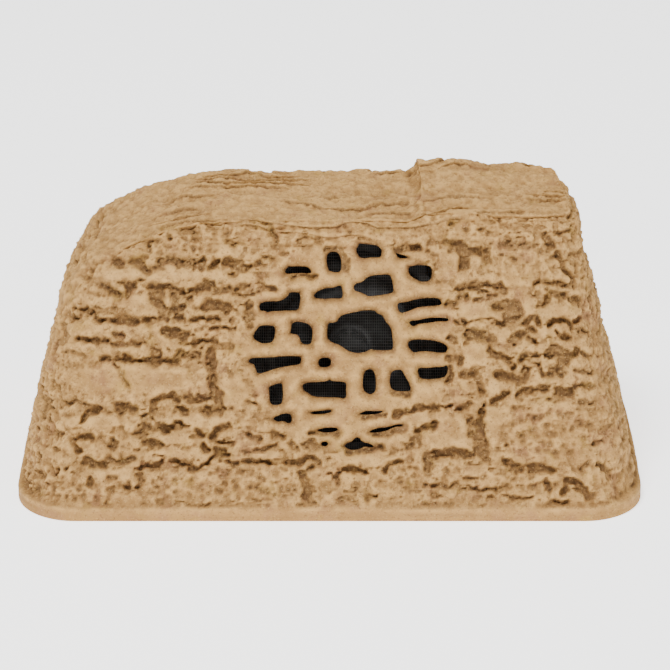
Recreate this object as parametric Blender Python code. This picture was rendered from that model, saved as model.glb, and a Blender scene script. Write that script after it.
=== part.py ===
"""Outdoor loudspeaker disguised as a block of layered sandstone.

A moulded rock shell, open underneath, carries a two-way coaxial driver behind an irregular
pattern of holes in its sloping front face. A screwed base plate closes it, with the crossover
board on top of the plate and a cable gland in the back wall. The rock stands on the flat rim
of its skirt.

Lengths are millimetres here and become metres when a mesh is made. Two frames are used:
  world   X right, Y back, Z up, origin at the middle of the rim that the rock stands on;
  face    u right, v up the front face, w out of it, origin where the driver's axis meets
          the plane of the front face.
"""

import math

import bmesh
import bpy
import numpy as np
from mathutils import Matrix, Vector

MM = 0.001
GAP = 0.3  # between pieces that touch
REACH = 60.0  # how far a cutter runs past what it cuts

# ---------------------------------------------------------------- driving dimensions
WIDTH, DEPTH = 392.0, 228.0  # the skirt
FRONT_RIDGE, BACK_RIDGE = 170.0, 180.0  # heights of the top's front and back edges
SLAB = 10.0  # how far the slab at the right-hand back stands up from the top
SKIRT = 9.0  # height of the plain band at the foot
CORNER = 38.0  # plan radius of the corners
FRONT_ROUND, BACK_ROUND, LEFT_ROUND, RIGHT_ROUND = 12.0, 22.0, 24.0, 9.0  # at the top
WALL = 6.0

FACE_TILT = math.radians(25)  # how far the front face leans back
LEAN_BACK, LEAN_LEFT, LEAN_RIGHT = 0.482, 0.22, 0.25  # inward, for each mm of height
TAPER_LEFT, TAPER_RIGHT = 6.0, 8.0  # how much narrower each side is at the back

AXIS_X = 12.4  # the driver's axis, right of the middle
AXIS_Z = 100.0  # and its height where it meets the front face
PAD_RADIUS, PAD_TOP = 78.0, 69.0  # the flat inside the front wall that carries the driver
PAD_FACE = -11.0  # w of its rear face
PAD_FRONT = -4.2  # w of its front, inside the wall

SCREEN_RADIUS, SCREEN_TOP = 74.0, 67.0
SCREEN_THICK = 0.5
RING_THICK = 5.0
SEAL_THICK = 2.0
BOLT_CIRCLE = 70.0
FLANGE_RADIUS, FLANGE_THICK = 66.0, 2.0
OPENING = 60.5  # radius of the hole through the ring and the gasket
SCREEN_FACE = PAD_FACE - GAP
RING_FACE = SCREEN_FACE - SCREEN_THICK - GAP
SEAL_FACE = RING_FACE - RING_THICK - GAP
FLANGE_FACE = SEAL_FACE - SEAL_THICK - GAP  # about -19.7: the driver's own front plane

PLATE_LOW, PLATE_THICK = 2.0, 3.0
GASKET_THICK = 1.4
LEDGE_LOW = PLATE_LOW + PLATE_THICK + GASKET_THICK + 2 * GAP
LEDGE_HIGH = LEDGE_LOW + 6.0
LEDGE_INSET = 17.0
REBATE_INSET = 7.0
BOARD_LOW, BOARD_THICK = 12.0, 1.6
BOARD_X, BOARD_Y = -24.0, 54.0
BOARD_SIZE = (100.0, 56.0)

GLAND_X, GLAND_Z = -90.0, 31.5
GLAND_FLOOR = 95.0  # y of the flat seat that the gland sits on

# ---------------------------------------------------------------- materials


def material(name, colour, roughness, metallic=0.0):
    made = bpy.data.materials.new(name)
    made.use_nodes = True
    shader = made.node_tree.nodes["Principled BSDF"]
    shader.inputs["Base Color"].default_value = (*colour, 1)
    shader.inputs["Roughness"].default_value = roughness
    shader.inputs["Metallic"].default_value = metallic
    return made


def make_materials():
    return {
        "sandstone": material("sandstone", (0.60, 0.43, 0.24), 0.85),
        "black_abs": material("black_abs", (0.03, 0.03, 0.03), 0.55),
        "black_mesh": material("black_mesh", (0.012, 0.012, 0.012), 0.6),
        "foam": material("foam", (0.02, 0.02, 0.02), 0.95),
        "rubber": material("rubber", (0.025, 0.025, 0.027), 0.6),
        "black_steel": material("black_steel", (0.04, 0.04, 0.045), 0.4, 0.6),
        "cone_plastic": material("cone_plastic", (0.045, 0.045, 0.05), 0.35),
        "kapton": material("kapton", (0.35, 0.16, 0.03), 0.35),
        "copper": material("copper", (0.72, 0.32, 0.14), 0.35, 1.0),
        "spider_cloth": material("spider_cloth", (0.55, 0.42, 0.16), 0.9),
        "zinc": material("zinc", (0.62, 0.62, 0.60), 0.35, 1.0),
        "ferrite": material("ferrite", (0.06, 0.06, 0.065), 0.7),
        "phenolic": material("phenolic", (0.22, 0.11, 0.04), 0.6),
        "silk": material("silk", (0.03, 0.03, 0.035), 0.7),
        "circuit_board": material("circuit_board", (0.03, 0.16, 0.07), 0.5),
        "film": material("film", (0.75, 0.55, 0.10), 0.4),
        "sleeve": material("sleeve", (0.03, 0.05, 0.12), 0.35),
        "cement": material("cement", (0.75, 0.74, 0.70), 0.8),
        "green_plastic": material("green_plastic", (0.05, 0.32, 0.16), 0.45),
        "red_wire": material("red_wire", (0.45, 0.02, 0.02), 0.5),
        "black_wire": material("black_wire", (0.02, 0.02, 0.02), 0.5),
        "nylon": material("nylon", (0.035, 0.035, 0.035), 0.45),
        "wadding": material("wadding", (0.78, 0.78, 0.74), 0.95),
    }


# ---------------------------------------------------------------- making objects


def object_of(name, mesh, finish, parent=None):
    """One node from a mesh in metres."""
    made = bpy.data.objects.new(name, mesh)
    bpy.context.scene.collection.objects.link(made)
    if finish:
        mesh.materials.append(MATERIALS[finish])
    if parent:
        made.parent = parent
    return made


def mesh_of(name, points, faces):
    """A closed mesh with its faces pointing out, from points in millimetres."""
    mesh = bpy.data.meshes.new(name)
    mesh.from_pydata([Vector(p) * MM for p in points], [], faces)
    work = bmesh.new()
    work.from_mesh(mesh)
    bmesh.ops.remove_doubles(work, verts=work.verts, dist=1e-6)
    bmesh.ops.recalc_face_normals(work, faces=work.faces)
    work.to_mesh(mesh)
    work.free()
    return mesh


def smooth(mesh, angle=35):
    mesh.shade_smooth()
    mesh.set_sharp_from_angle(angle=math.radians(angle))
    return mesh


def turned_mesh(name, profile, segments=24):
    """A closed profile of (radius, height) points spun about the Z axis."""
    work = bmesh.new()
    ring = [work.verts.new((r * MM, 0, z * MM)) for r, z in profile]
    for a, b in zip(ring, ring[1:] + ring[:1]):
        if a.co.x > 1e-9 or b.co.x > 1e-9:
            work.edges.new((a, b))
    bmesh.ops.spin(
        work,
        geom=work.verts[:] + work.edges[:],
        cent=(0, 0, 0),
        axis=(0, 0, 1),
        angle=math.tau,
        steps=segments,
    )
    bmesh.ops.remove_doubles(work, verts=work.verts, dist=1e-6)
    bmesh.ops.recalc_face_normals(work, faces=work.faces)
    mesh = bpy.data.meshes.new(name)
    work.to_mesh(mesh)
    work.free()
    return smooth(mesh)


def turned(name, profile, finish, parent=None, segments=24):
    return object_of(name, turned_mesh(name, profile, segments), finish, parent)


def prism_mesh(name, outline, low, high):
    """An outline of (x, y) points extruded from one height to another."""
    count = len(outline)
    points = [(x, y, low) for x, y in outline] + [(x, y, high) for x, y in outline]
    faces = [tuple(range(count)), tuple(range(count, 2 * count))]
    for i in range(count):
        j = (i + 1) % count
        faces.append((i, j, count + j, count + i))
    return mesh_of(name, points, faces)


def box_outline(width, length, x=0.0, y=0.0):
    return [
        (x - width / 2, y - length / 2),
        (x + width / 2, y - length / 2),
        (x + width / 2, y + length / 2),
        (x - width / 2, y + length / 2),
    ]


def block(name, size, centre, finish, parent=None, edge=0.0):
    """A box with bevelled edges."""
    work = bmesh.new()
    bmesh.ops.create_cube(work, size=1)
    bmesh.ops.scale(work, vec=Vector(size) * MM, verts=work.verts)
    bmesh.ops.translate(work, vec=Vector(centre) * MM, verts=work.verts)
    if edge:
        bmesh.ops.bevel(
            work, geom=work.edges[:], offset=edge * MM, segments=1, affect="EDGES"
        )
    mesh = bpy.data.meshes.new(name)
    work.to_mesh(mesh)
    work.free()
    return object_of(name, mesh, finish, parent)


def cutter(name, mesh, parent=None):
    """A helper that a Boolean reads and nothing shows."""
    made = object_of(name, mesh, None, parent)
    made.hide_render = True
    made.display_type = "WIRE"
    return made


def boolean(target, other, operation):
    change = target.modifiers.new(other.name, "BOOLEAN")
    change.operation = operation
    change.object = other
    change.solver = "EXACT"
    return change


def joined_mesh(name, meshes):
    """Several meshes as one, each still its own body."""
    work = bmesh.new()
    for mesh in meshes:
        work.from_mesh(mesh)
    made = bpy.data.meshes.new(name)
    work.to_mesh(made)
    work.free()
    return made


def moved(mesh, matrix):
    mesh.transform(matrix)
    return mesh


def evaluated_mesh(source):
    """The mesh that an object's modifiers give, kept for several objects to share."""
    bpy.context.view_layer.update()
    graph = bpy.context.evaluated_depsgraph_get()
    return bpy.data.meshes.new_from_object(source.evaluated_get(graph))


def circle(radius, count, x=0.0, y=0.0, turn=0.0):
    return [
        (
            x + radius * math.cos(turn + math.tau * i / count),
            y + radius * math.sin(turn + math.tau * i / count),
        )
        for i in range(count)
    ]


def along(direction, location):
    """The matrix that takes +Z to a direction, and the origin to a place in millimetres."""
    turn = Vector(direction).to_track_quat("Z", "Y").to_matrix().to_4x4()
    return Matrix.Translation(Vector(location) * MM) @ turn


# ---------------------------------------------------------------- the rock's form
#
# The rock is shaped from a plain box with round corners. A place in the box is (x, y) with
# the height it has on the rock; leaning and tapering the box gives the place on the rock.


def ramp(value, start, end):
    share = np.clip((value - start) / (end - start), 0, 1)
    return share * share * (3 - 2 * share)


def depth_share(y):
    return (y + DEPTH / 2) / DEPTH


def top_height(x, y):
    back = depth_share(y)
    height = FRONT_RIDGE + (BACK_RIDGE - FRONT_RIDGE) * back
    height = height - 24 * np.clip((-x - 75) / 98, 0, None) ** 2
    slab = SLAB * ramp(x, 62, 78) - 4 * ramp(x, 115, 150)
    return height + slab * (0.35 + 0.65 * back)


def round_height(x, y):
    """How far below the top the walls start to turn over."""
    left = np.clip(-x / (WIDTH / 2), 0, 1) ** 4
    return FRONT_ROUND + (BACK_ROUND - FRONT_ROUND) * depth_share(y) ** 2 + 12 * left


def leaned(x, y, height):
    """A place in the plain box, as a point of the rock."""
    above = np.maximum(height - SKIRT, 0)
    back = depth_share(y)
    right = (x + WIDTH / 2) / WIDTH
    taper = (1 - right) * TAPER_LEFT - right * TAPER_RIGHT
    taper = taper * np.clip((back - 0.25) / 0.75, 0, 1) ** 2
    slope_y = (1 - back) * math.tan(FACE_TILT) - back * LEAN_BACK
    slope_x = (1 - right) * LEAN_LEFT - right * LEAN_RIGHT
    return np.stack(
        [x + taper + slope_x * above, y + slope_y * above, height], axis=-1
    )


def box_limits(inset, turn):
    """Left, right, front, back and corner radius of the box, at an angle round the top edge."""
    fold = 1 - math.cos(turn)
    return (
        -WIDTH / 2 + inset + (LEFT_ROUND - inset) * fold,
        WIDTH / 2 - inset - (RIGHT_ROUND - inset) * fold,
        -DEPTH / 2 + inset + (FRONT_ROUND - inset) * fold,
        DEPTH / 2 - inset - (BACK_ROUND - inset) * fold,
        CORNER - inset - (FRONT_ROUND - inset) * fold,
    )


def rounded(x, y, limits):
    """Gives a rectangle's points the round corners, and says which way each then faces."""
    left, right, front, back, radius = limits
    inner_x = np.clip(x, left + radius, right - radius)
    inner_y = np.clip(y, front + radius, back - radius)
    dx, dy = x - inner_x, y - inner_y
    far = np.maximum(np.hypot(dx, dy), 1e-9)
    share = np.maximum(np.abs(dx), np.abs(dy)) / far
    facing = np.stack([dx / far, dy / far], axis=-1)
    return inner_x + dx * share, inner_y + dy * share, facing


def edge_loop(limits, across, deep):
    """Places round the box's edge, with so many steps across and so many deep."""
    left, right, front, back, _ = limits
    xs = np.linspace(left, right, across + 1)
    ys = np.linspace(front, back, deep + 1)
    places = [(x, front) for x in xs[:-1]]
    places += [(right, y) for y in ys[:-1]]
    places += [(x, back) for x in xs[::-1][:-1]]
    places += [(left, y) for y in ys[::-1][:-1]]
    places = np.array(places)
    return rounded(places[:, 0], places[:, 1], limits)


def plan_outline(inset, across=20, deep=14):
    """The skirt's outline in plan, moved inwards."""
    x, y, _ = edge_loop(box_limits(inset, 0), across, deep)
    return [(px, py) for px, py, _ in leaned(x, y, np.zeros(len(x))).tolist()]


def strata(z):
    """Coarse beds of rock up the sides: how far each level stands back."""
    beds = 0.8 * np.sin(z / 4.3 + 0.6) + 0.6 * np.sin(z / 8.7 + 2.1) - 1.2
    return beds * np.clip((z - SKIRT - 2) / 10, 0, 1)


def rock_mesh(name, inset, low, across, deep, rows):
    """The rock's closed form, or its hollow when moved inwards and started higher up."""
    count = 2 * (across + deep)
    points = []

    def add_ring(share, turn):
        x, y, facing = edge_loop(box_limits(inset, turn), across, deep)
        roof = top_height(x, y) - inset
        drop = round_height(x, y) - inset
        floor = SKIRT if low < SKIRT and (share > 0 or turn > 0) else low
        height = floor + share * (roof - drop - floor) + drop * math.sin(turn)
        ring = leaned(x, y, height)
        if inset == 0 and share < 1:
            ring[:, :2] += facing * strata(height)[:, None]
        points.extend(ring.tolist())

    add_ring(0, 0)
    if low < SKIRT:
        add_ring(1e-6, 0)
    for share in np.linspace(0, 1, rows)[1:]:
        add_ring(share, 0)
    turns = np.radians([22.5, 45, 67.5, 90])
    for turn in turns:
        add_ring(1, turn)
    levels = len(points) // count
    faces = [tuple(range(count))]
    for row in range(levels - 1):
        for i in range(count):
            j = (i + 1) % count
            a, b = row * count, (row + 1) * count
            faces.append((a + i, a + j, b + j, b + i))
    limits = box_limits(inset, math.pi / 2)
    left, right, front, back, _ = limits
    grid_x, grid_y = np.meshgrid(
        np.linspace(left, right, across + 1), np.linspace(front, back, deep + 1), indexing="ij"
    )
    x, y, _ = rounded(grid_x, grid_y, limits)
    base = len(points)
    points.extend(leaned(x, y, top_height(x, y) - inset).reshape(-1, 3).tolist())
    for i in range(across):
        for j in range(deep):
            a = base + i * (deep + 1) + j
            faces.append((a, a + deep + 1, a + deep + 2, a + 1))
    return mesh_of(name, points, faces)


# The holes of the grille, each an outline of (u, v) points in the face frame.
HOLES = {
    "upper_left_slot": [(-40, 45), (-40, 47.5), (-38, 49.8), (-30, 50), (-26, 49.5),
                        (-24, 47.5), (-23.6, 45.3), (-30, 45.7)],
    "upper_tall": [(-14.3, 52.5), (-14, 57), (-12, 59), (-8, 59), (-6, 57), (-4.8, 52),
                   (-5.2, 47.5), (-6.5, 46), (-12.5, 46.5), (-13.5, 49)],
    "boot": [(-56.3, 25), (-55, 27.3), (-50, 28.2), (-43, 28), (-38, 31.5), (-37.5, 33.8),
             (-31, 33.8), (-30.3, 30), (-31.3, 24.5), (-32.3, 22.5), (-40, 22.3),
             (-49, 21.8), (-51, 21.2), (-53, 22.3), (-55.3, 22)],
    "wedge": [(-22, 30), (-22, 33), (-16, 36.3), (-10, 36.5), (-6.5, 38), (-5, 37.8),
              (-4, 33), (-4.7, 29.5), (-10, 30), (-15, 29.5)],
    "left_block": [(-60, 7), (-57.5, 11), (-55.5, 13.2), (-48, 13.2), (-46, 11.5),
                   (-46.5, 6), (-48, 2.3), (-53, 1.9), (-55, 2), (-59.5, 4.5)],
    "hook": [(-36.5, 10), (-35.8, 15.5), (-28, 15.2), (-23, 12.2), (-23, 5), (-24.3, 0.8),
             (-30, 1.6), (-31.2, 6), (-32.5, 7.5), (-37, 8)],
    "window": [(-14, 8), (-13.5, 14), (-12, 14.7), (-7.5, 15.3), (-7, 17.5), (-4, 19.9),
               (4, 21.5), (10, 22.7), (16, 22.5), (17, 20.7), (20.5, 19.5), (22.5, 15.5),
               (26, 11.5), (26.7, 6), (27.3, 0), (26.3, -2.5), (15.5, -2.3), (13.5, -1.5),
               (10, -3.5), (5, -4.2), (1, -3.5), (-3, -1.5), (-6, 1), (-11, 2.5),
               (-13.7, 5)],
    "upper_centre": [(4, 60.5), (5.5, 62.5), (5.8, 64.3), (10, 63.8), (17, 63),
                     (19.5, 61), (20.2, 59), (19.6, 56), (18, 55.1), (14, 55.4),
                     (9, 54.7), (6.5, 55.3), (5, 57.5)],
    "upper_sliver": [(28.3, 59), (30, 57.6), (34, 56.8), (36.8, 55), (33, 54.7), (30, 55)],
    "flask": [(2.7, 34.5), (2.6, 38.8), (8, 40), (11.5, 43.5), (16, 44.5), (24, 44.9),
              (26, 43.8), (27.3, 37), (27.7, 34), (24, 32.6), (17, 31.6), (11.5, 31),
              (9.5, 32.5), (7, 33.7)],
    "upper_right": [(36.5, 49.5), (42, 50.7), (49, 50.4), (51, 49.3), (51.5, 44),
                    (49.8, 40.8), (46, 40), (43, 40.8), (39, 43), (36.8, 45.2)],
    "right_band_high": [(29.6, 26), (31, 27.2), (36, 27.8), (41, 29.3), (48, 30.2),
                        (54, 30.2), (56.3, 29.3), (57.8, 25.8), (52, 25.3), (43, 24.6),
                        (38, 22.5), (33, 20.6), (31, 21.3), (30, 24)],
    "right_crack": [(36.8, 15), (38.5, 16), (43, 16.4), (50, 18), (60.5, 17.8),
                    (61.8, 16.7), (60.8, 15.6), (56, 15.8), (50, 14.7), (43, 14.2),
                    (40.5, 12.7), (38.8, 12.6)],
    "right_band_low": [(36.5, 0), (36.3, 2.5), (38, 3.8), (42, 4.4), (50, 4), (55, 3.2),
                       (59.5, 1.4), (61.3, -1), (60, -3.9), (56, -4), (50, -3), (44, -3),
                       (40, -4.1), (38, -2)],
    "long_left": [(-63, -8.8), (-60.5, -7), (-50, -6.9), (-40, -6), (-30, -6), (-30, -9),
                  (-31, -11.3), (-36, -11.8), (-45, -13.5), (-51, -15.5), (-57, -17.6),
                  (-58.5, -14), (-59.2, -11.3), (-62.5, -10)],
    "small_square": [(-19.5, -10.5), (-19, -7.8), (-16, -6.9), (-12.3, -7.3), (-11.3, -9),
                     (-11.7, -11.7), (-14.5, -13.2), (-18.5, -12.8)],
    "left_tall": [(-50.2, -26), (-49.6, -24.7), (-42, -22.1), (-41.5, -26), (-41.2, -31),
                  (-42, -35), (-43.5, -36.3), (-48, -36.6), (-49.7, -34.5)],
    "lower_band": [(-29.3, -24.5), (-28, -22.6), (-14.5, -21.8), (-12.5, -20.4),
                   (-11, -21.6), (-3, -21.8), (-1.8, -24), (-2.3, -27.3), (-1.9, -31.3),
                   (-3.5, -32.6), (-6.5, -31.8), (-23, -31.5), (-25.3, -29),
                   (-27.5, -28.2), (-28.8, -26.5)],
    "lower_left": [(-47.8, -45), (-45, -43), (-40, -41.4), (-36.7, -42), (-36, -44),
                   (-35.8, -47), (-38, -48), (-40.5, -46.7), (-42.5, -46.3), (-44, -47),
                   (-46, -46.3)],
    "sliver_left": [(-25, -41), (-20, -40.1), (-12, -39.4), (-11, -40), (-12.5, -41.6),
                    (-23, -42.3)],
    "lens": [(-20.5, -52), (-16, -50.7), (-11, -50.2), (-8, -50.6), (-7, -52),
             (-10, -53.4), (-17, -53.5)],
    "pinhole": [(-17.8, -60.6), (-16.8, -59.3), (-14.4, -59.1), (-13.1, -60.4),
                (-14, -62), (-16.6, -62.1)],
    "tall_slot": [(8.2, -20), (9.5, -15.2), (12.5, -13.8), (15.3, -15.3), (16.4, -20),
                  (16.5, -27), (15, -29.2), (12.5, -30), (9.2, -28), (8.2, -25)],
    "keystone": [(25, -20), (26, -15.6), (29.5, -14.4), (32.5, -14.4), (34.5, -18.5),
                 (37.3, -23), (38.3, -27.5), (36, -28), (30, -28), (26, -26.5), (25, -23)],
    "right_block": [(42.3, -15), (43, -13.2), (48, -13.5), (52, -12.9), (58.5, -12.8),
                    (60, -11.6), (61.3, -12.5), (61, -17), (58.5, -19.7), (50, -20.5),
                    (43.5, -20)],
    "sliver_right": [(5.7, -42.4), (8, -40.8), (11, -39.9), (15, -40.3), (21.5, -39.9),
                     (19, -41.8), (11, -42.6)],
    "crack_right": [(12, -53.3), (15, -51.3), (20, -50.4), (25, -49.9), (29, -48.4),
                    (33.5, -48.2), (33, -49.6), (28, -50), (22, -53), (14, -53.8)],
    "arrowhead": [(-3.5, -61.8), (-1, -59.8), (1.5, -59.2), (3, -57.2), (4.5, -56.4),
                  (6.5, -57), (7.5, -59.2), (12, -60.2), (15.5, -62), (14.5, -63),
                  (9, -62.2), (6.5, -64), (2, -64.7), (-1.5, -63.6)],
}


def screw_places():
    """Where the base plate's screws go, in the middle of the ledge."""
    limits = box_limits((REBATE_INSET + LEDGE_INSET) / 2 + 0.5, 0)
    left, right, front, back, _ = limits
    places = np.array(
        [(left, 0), (right, 0), (-88, front), (88, front), (-88, back), (88, back)]
    )
    return leaned(places[:, 0], places[:, 1], np.zeros(6))[:, :2].tolist()


def bolt_places(radius=BOLT_CIRCLE):
    """The driver's four screws, turned so that each misses the holes of the grille."""
    turns = [math.radians(52 + 90 * i) for i in range(4)]
    return [(radius * math.cos(a), radius * math.sin(a)) for a in turns]


def flat_topped(outline, top):
    """A round outline with its top cut off level."""
    return [(x, min(y, top)) for x, y in outline]


def make_rock_shell(face):
    """The moulded shell: wall, skirt, ledge, driver pad and gland seat in one piece."""
    outer = rock_mesh("rock_shell", 0, 0, 26, 14, 12)
    shell = object_of("rock_shell", smooth(outer, 50), "sandstone")
    hollow = rock_mesh("hollow_cut", WALL, LEDGE_HIGH, 14, 10, 4)
    boolean(shell, cutter("hollow_cut", hollow), "DIFFERENCE")
    mouth = prism_mesh("mouth_cut", plan_outline(LEDGE_INSET), -5, LEDGE_HIGH + 1)
    boolean(shell, cutter("mouth_cut", mouth), "DIFFERENCE")
    rebate = prism_mesh("rebate_cut", plan_outline(REBATE_INSET), -5, LEDGE_LOW)
    boolean(shell, cutter("rebate_cut", rebate), "DIFFERENCE")

    pad = prism_mesh(
        "driver_pad", flat_topped(circle(PAD_RADIUS, 40), PAD_TOP), PAD_FACE, PAD_FRONT
    )
    boolean(shell, cutter("driver_pad", pad, face), "UNION")
    seat = moved(prism_mesh("gland_seat", circle(18, 20), 0, 9), gland_frame(-6))
    boolean(shell, cutter("gland_seat", seat), "UNION")

    holes = [
        prism_mesh(name, outline, PAD_FACE - 5, REACH / 3) for name, outline in HOLES.items()
    ]
    boolean(shell, cutter("grille_cut", joined_mesh("grille_cut", holes), face), "DIFFERENCE")
    pilots = [
        prism_mesh("pilot", circle(2.2, 8, u, v), PAD_FACE - 3, PAD_FACE + 5.5)
        for u, v in bolt_places()
    ]
    name = "driver_pilots"
    boolean(shell, cutter(name, joined_mesh(name, pilots), face), "DIFFERENCE")
    pilots = [
        prism_mesh("pilot", circle(2.0, 8, x, y), LEDGE_LOW - 3, LEDGE_LOW + 5.2)
        for x, y in screw_places()
    ]
    boolean(shell, cutter("base_pilots", joined_mesh("base_pilots", pilots)), "DIFFERENCE")
    pocket = moved(prism_mesh("gland_pocket", circle(16, 20), 0, REACH), gland_frame(0))
    boolean(shell, cutter("gland_pocket", pocket), "DIFFERENCE")
    bore = moved(prism_mesh("gland_bore", circle(8.4, 16), -20, 20), gland_frame(0))
    boolean(shell, cutter("gland_bore", bore), "DIFFERENCE")
    return shell


# ---------------------------------------------------------------- screws


def screw_mesh(name, radius, head_radius, head_height, length):
    """A pan head screw with a cross recess, its head's underside at the origin, shank up +Z."""
    profile = [
        (0, -head_height),
        (head_radius * 0.7, -head_height),
        (head_radius, 0),
        (radius, 0),
        (radius, length - radius),
        (0, length),
    ]
    head = cutter(name + "_blank", turned_mesh(name + "_blank", profile, 9))
    arm, deep = head_radius * 1.15, head_height * 0.55
    cross = []
    for width, depth in ((arm, radius * 0.42), (radius * 0.42, arm)):
        cross.append(
            prism_mesh("arm", box_outline(width, depth), -head_height - 1, deep - head_height)
        )
    for i, arm_mesh in enumerate(cross):
        boolean(head, cutter(f"{name}_arm_{i}", arm_mesh), "DIFFERENCE")
    made = evaluated_mesh(head)
    made.name = name
    return made


def make_screws(face):
    base = screw_mesh("base_screw", 1.65, 3.6, 1.6, 10.0)
    for i, (x, y) in enumerate(screw_places(), 1):
        one = object_of(f"base_screw_{i}", base, "zinc" if i == 1 else None)
        one.location = (x * MM, y * MM, (PLATE_LOW - GAP) * MM)
    driver = screw_mesh("driver_screw", 1.8, 3.9, 2.2, 15.0)
    for i, (u, v) in enumerate(bolt_places(), 1):
        one = object_of(f"driver_screw_{i}", driver, "zinc" if i == 1 else None, face)
        one.location = (u * MM, v * MM, (FLANGE_FACE - FLANGE_THICK - GAP) * MM)
    board = screw_mesh("board_screw", 1.2, 2.6, 1.6, 6.5)
    for i, (x, y) in enumerate(board_holes(), 1):
        one = object_of(f"board_screw_{i}", board, "zinc" if i == 1 else None)
        one.location = (x * MM, y * MM, (BOARD_LOW + BOARD_THICK + GAP) * MM)
        one.rotation_euler = (math.pi, 0, 0)


# ---------------------------------------------------------------- base plate and board


def board_holes():
    x, y = BOARD_SIZE[0] / 2 - 5, BOARD_SIZE[1] / 2 - 5
    return [(BOARD_X + i * x, BOARD_Y + j * y) for i in (-1, 1) for j in (-1, 1)]


def make_base(face):
    edge = REBATE_INSET + 1.2
    plate = object_of(
        "base_plate",
        prism_mesh("base_plate", plan_outline(edge), PLATE_LOW, PLATE_LOW + PLATE_THICK),
        "black_abs",
    )
    top = PLATE_LOW + PLATE_THICK
    stand = [
        prism_mesh("stand", circle(4.0, 12, x, y), top - 1, BOARD_LOW - GAP)
        for x, y in board_holes()
    ]
    ribs = [prism_mesh("rib", box_outline(300, 2.4, 0, y), top - 1, top + 3) for y in (-42, 6)]
    ribs += [prism_mesh("rib", box_outline(2.4, 120, x, -18), top - 1, top + 2.6) for x in (-96, 96)]
    for name, meshes in (("plate_stands", stand), ("plate_rib_a", ribs[:2]), ("plate_rib_b", ribs[2:])):
        boolean(plate, cutter(name, joined_mesh(name, meshes)), "UNION")
    holes = [prism_mesh("hole", circle(2.0, 8, x, y), 0, 12) for x, y in screw_places()]
    holes += [prism_mesh("hole", circle(1.5, 8, x, y), 6.5, 20) for x, y in board_holes()]
    drains = [prism_mesh("drain", circle(3.0, 10, x, -60), 0, 12) for x in (-60, 60)]
    name = "plate_holes"
    boolean(plate, cutter(name, joined_mesh(name, holes + drains)), "DIFFERENCE")

    low = top + GAP
    strip = prism_mesh("base_gasket", plan_outline(edge), low, low + GASKET_THICK)
    gasket = object_of("base_gasket", strip, "foam")
    inside = prism_mesh("gasket_inside", plan_outline(LEDGE_INSET), 0, 20)
    boolean(gasket, cutter("gasket_inside", inside), "DIFFERENCE")
    holes = [prism_mesh("hole", circle(2.2, 8, x, y), 0, 20) for x, y in screw_places()]
    boolean(gasket, cutter("gasket_holes", joined_mesh("gasket_holes", holes)), "DIFFERENCE")


def make_crossover():
    """The board on its stands, and what is soldered to it."""
    board = object_of(
        "crossover_board",
        prism_mesh("crossover_board", box_outline(*BOARD_SIZE, BOARD_X, BOARD_Y),
                   BOARD_LOW, BOARD_LOW + BOARD_THICK),
        "circuit_board",
    )
    holes = [prism_mesh("hole", circle(1.6, 8, x, y), 0, 30) for x, y in board_holes()]
    boolean(board, cutter("board_holes", joined_mesh("board_holes", holes)), "DIFFERENCE")
    floor = BOARD_LOW + BOARD_THICK + GAP

    def standing(name, profile, finish, x, y, segments=20):
        made = turned(name, profile, finish, None, segments)
        made.location = (x * MM, y * MM, floor * MM)

    standing("inductor_bobbin",
             [(3, 0), (16, 0), (16, 1.6), (7, 1.6), (7, 17), (16, 17), (16, 18.6), (3, 18.6)],
             "black_abs", BOARD_X - 22, BOARD_Y)
    standing("inductor_winding", [(7.3, 2), (14.8, 2), (14.8, 16.6), (7.3, 16.6)],
             "copper", BOARD_X - 22, BOARD_Y)
    standing("tweeter_coil", [(5, 0), (10.5, 0), (11, 0.5), (11, 9.5), (10.5, 10), (5, 10)],
             "copper", BOARD_X + 8, BOARD_Y - 13)
    for name, radius, length, x, y, finish in (
        ("film_capacitor", 7.5, 26, BOARD_X + 36, BOARD_Y - 2, "film"),
        ("bipolar_capacitor", 6.0, 24, BOARD_X + 16, BOARD_Y + 13, "sleeve"),
    ):
        chamfer = 0.8
        profile = [(0, 0), (radius - chamfer, 0), (radius, chamfer), (radius, length - chamfer),
                   (radius - chamfer, length), (0, length)]
        made = turned(name, profile, finish, None, 16)
        upright = name == "film_capacitor"
        direction = (0, 1, 0) if upright else (1, 0, 0)
        start = (x, y - length / 2, floor + radius) if upright else (x - length / 2, y, floor + radius)
        made.matrix_world = along(direction, start)
    block("cement_resistor", (7, 18, 8), (BOARD_X - 3, BOARD_Y + 16, floor + 4), "cement", edge=0.5)
    terminals = block("input_terminals", (10, 14, 11), (BOARD_X - 44, BOARD_Y + 9, floor + 5.5),
                      "green_plastic", edge=0.4)
    wells = [
        prism_mesh("well", circle(2.4, 10, BOARD_X - 44, BOARD_Y + 9 + y), floor + 7, floor + 20)
        for y in (-3.6, 3.6)
    ]
    boolean(terminals, cutter("terminal_wells", joined_mesh("terminal_wells", wells)), "DIFFERENCE")


# ---------------------------------------------------------------- grille screen and driver

BASKET_LEGS = 6
LANDING = FLANGE_FACE - 3.3  # where the surround's edge is glued
SHELF = FLANGE_FACE - 26.3  # where the spider's edge is glued
BASKET_BACK = FLANGE_FACE - 34.3
NECK = FLANGE_FACE - 20.5  # the cone's small end
COIL_RADIUS = 12.2
POLE_RADIUS = 11.6
PLATE_FACE = BASKET_BACK - GAP
MAGNET_FACE = PLATE_FACE - 5 - GAP
YOKE_FACE = MAGNET_FACE - 15 - GAP
YOKE_BACK = YOKE_FACE - 5
POLE_FRONT = PLATE_FACE + 1.3
TWEETER_BACK = FLANGE_FACE - 13.3


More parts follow.
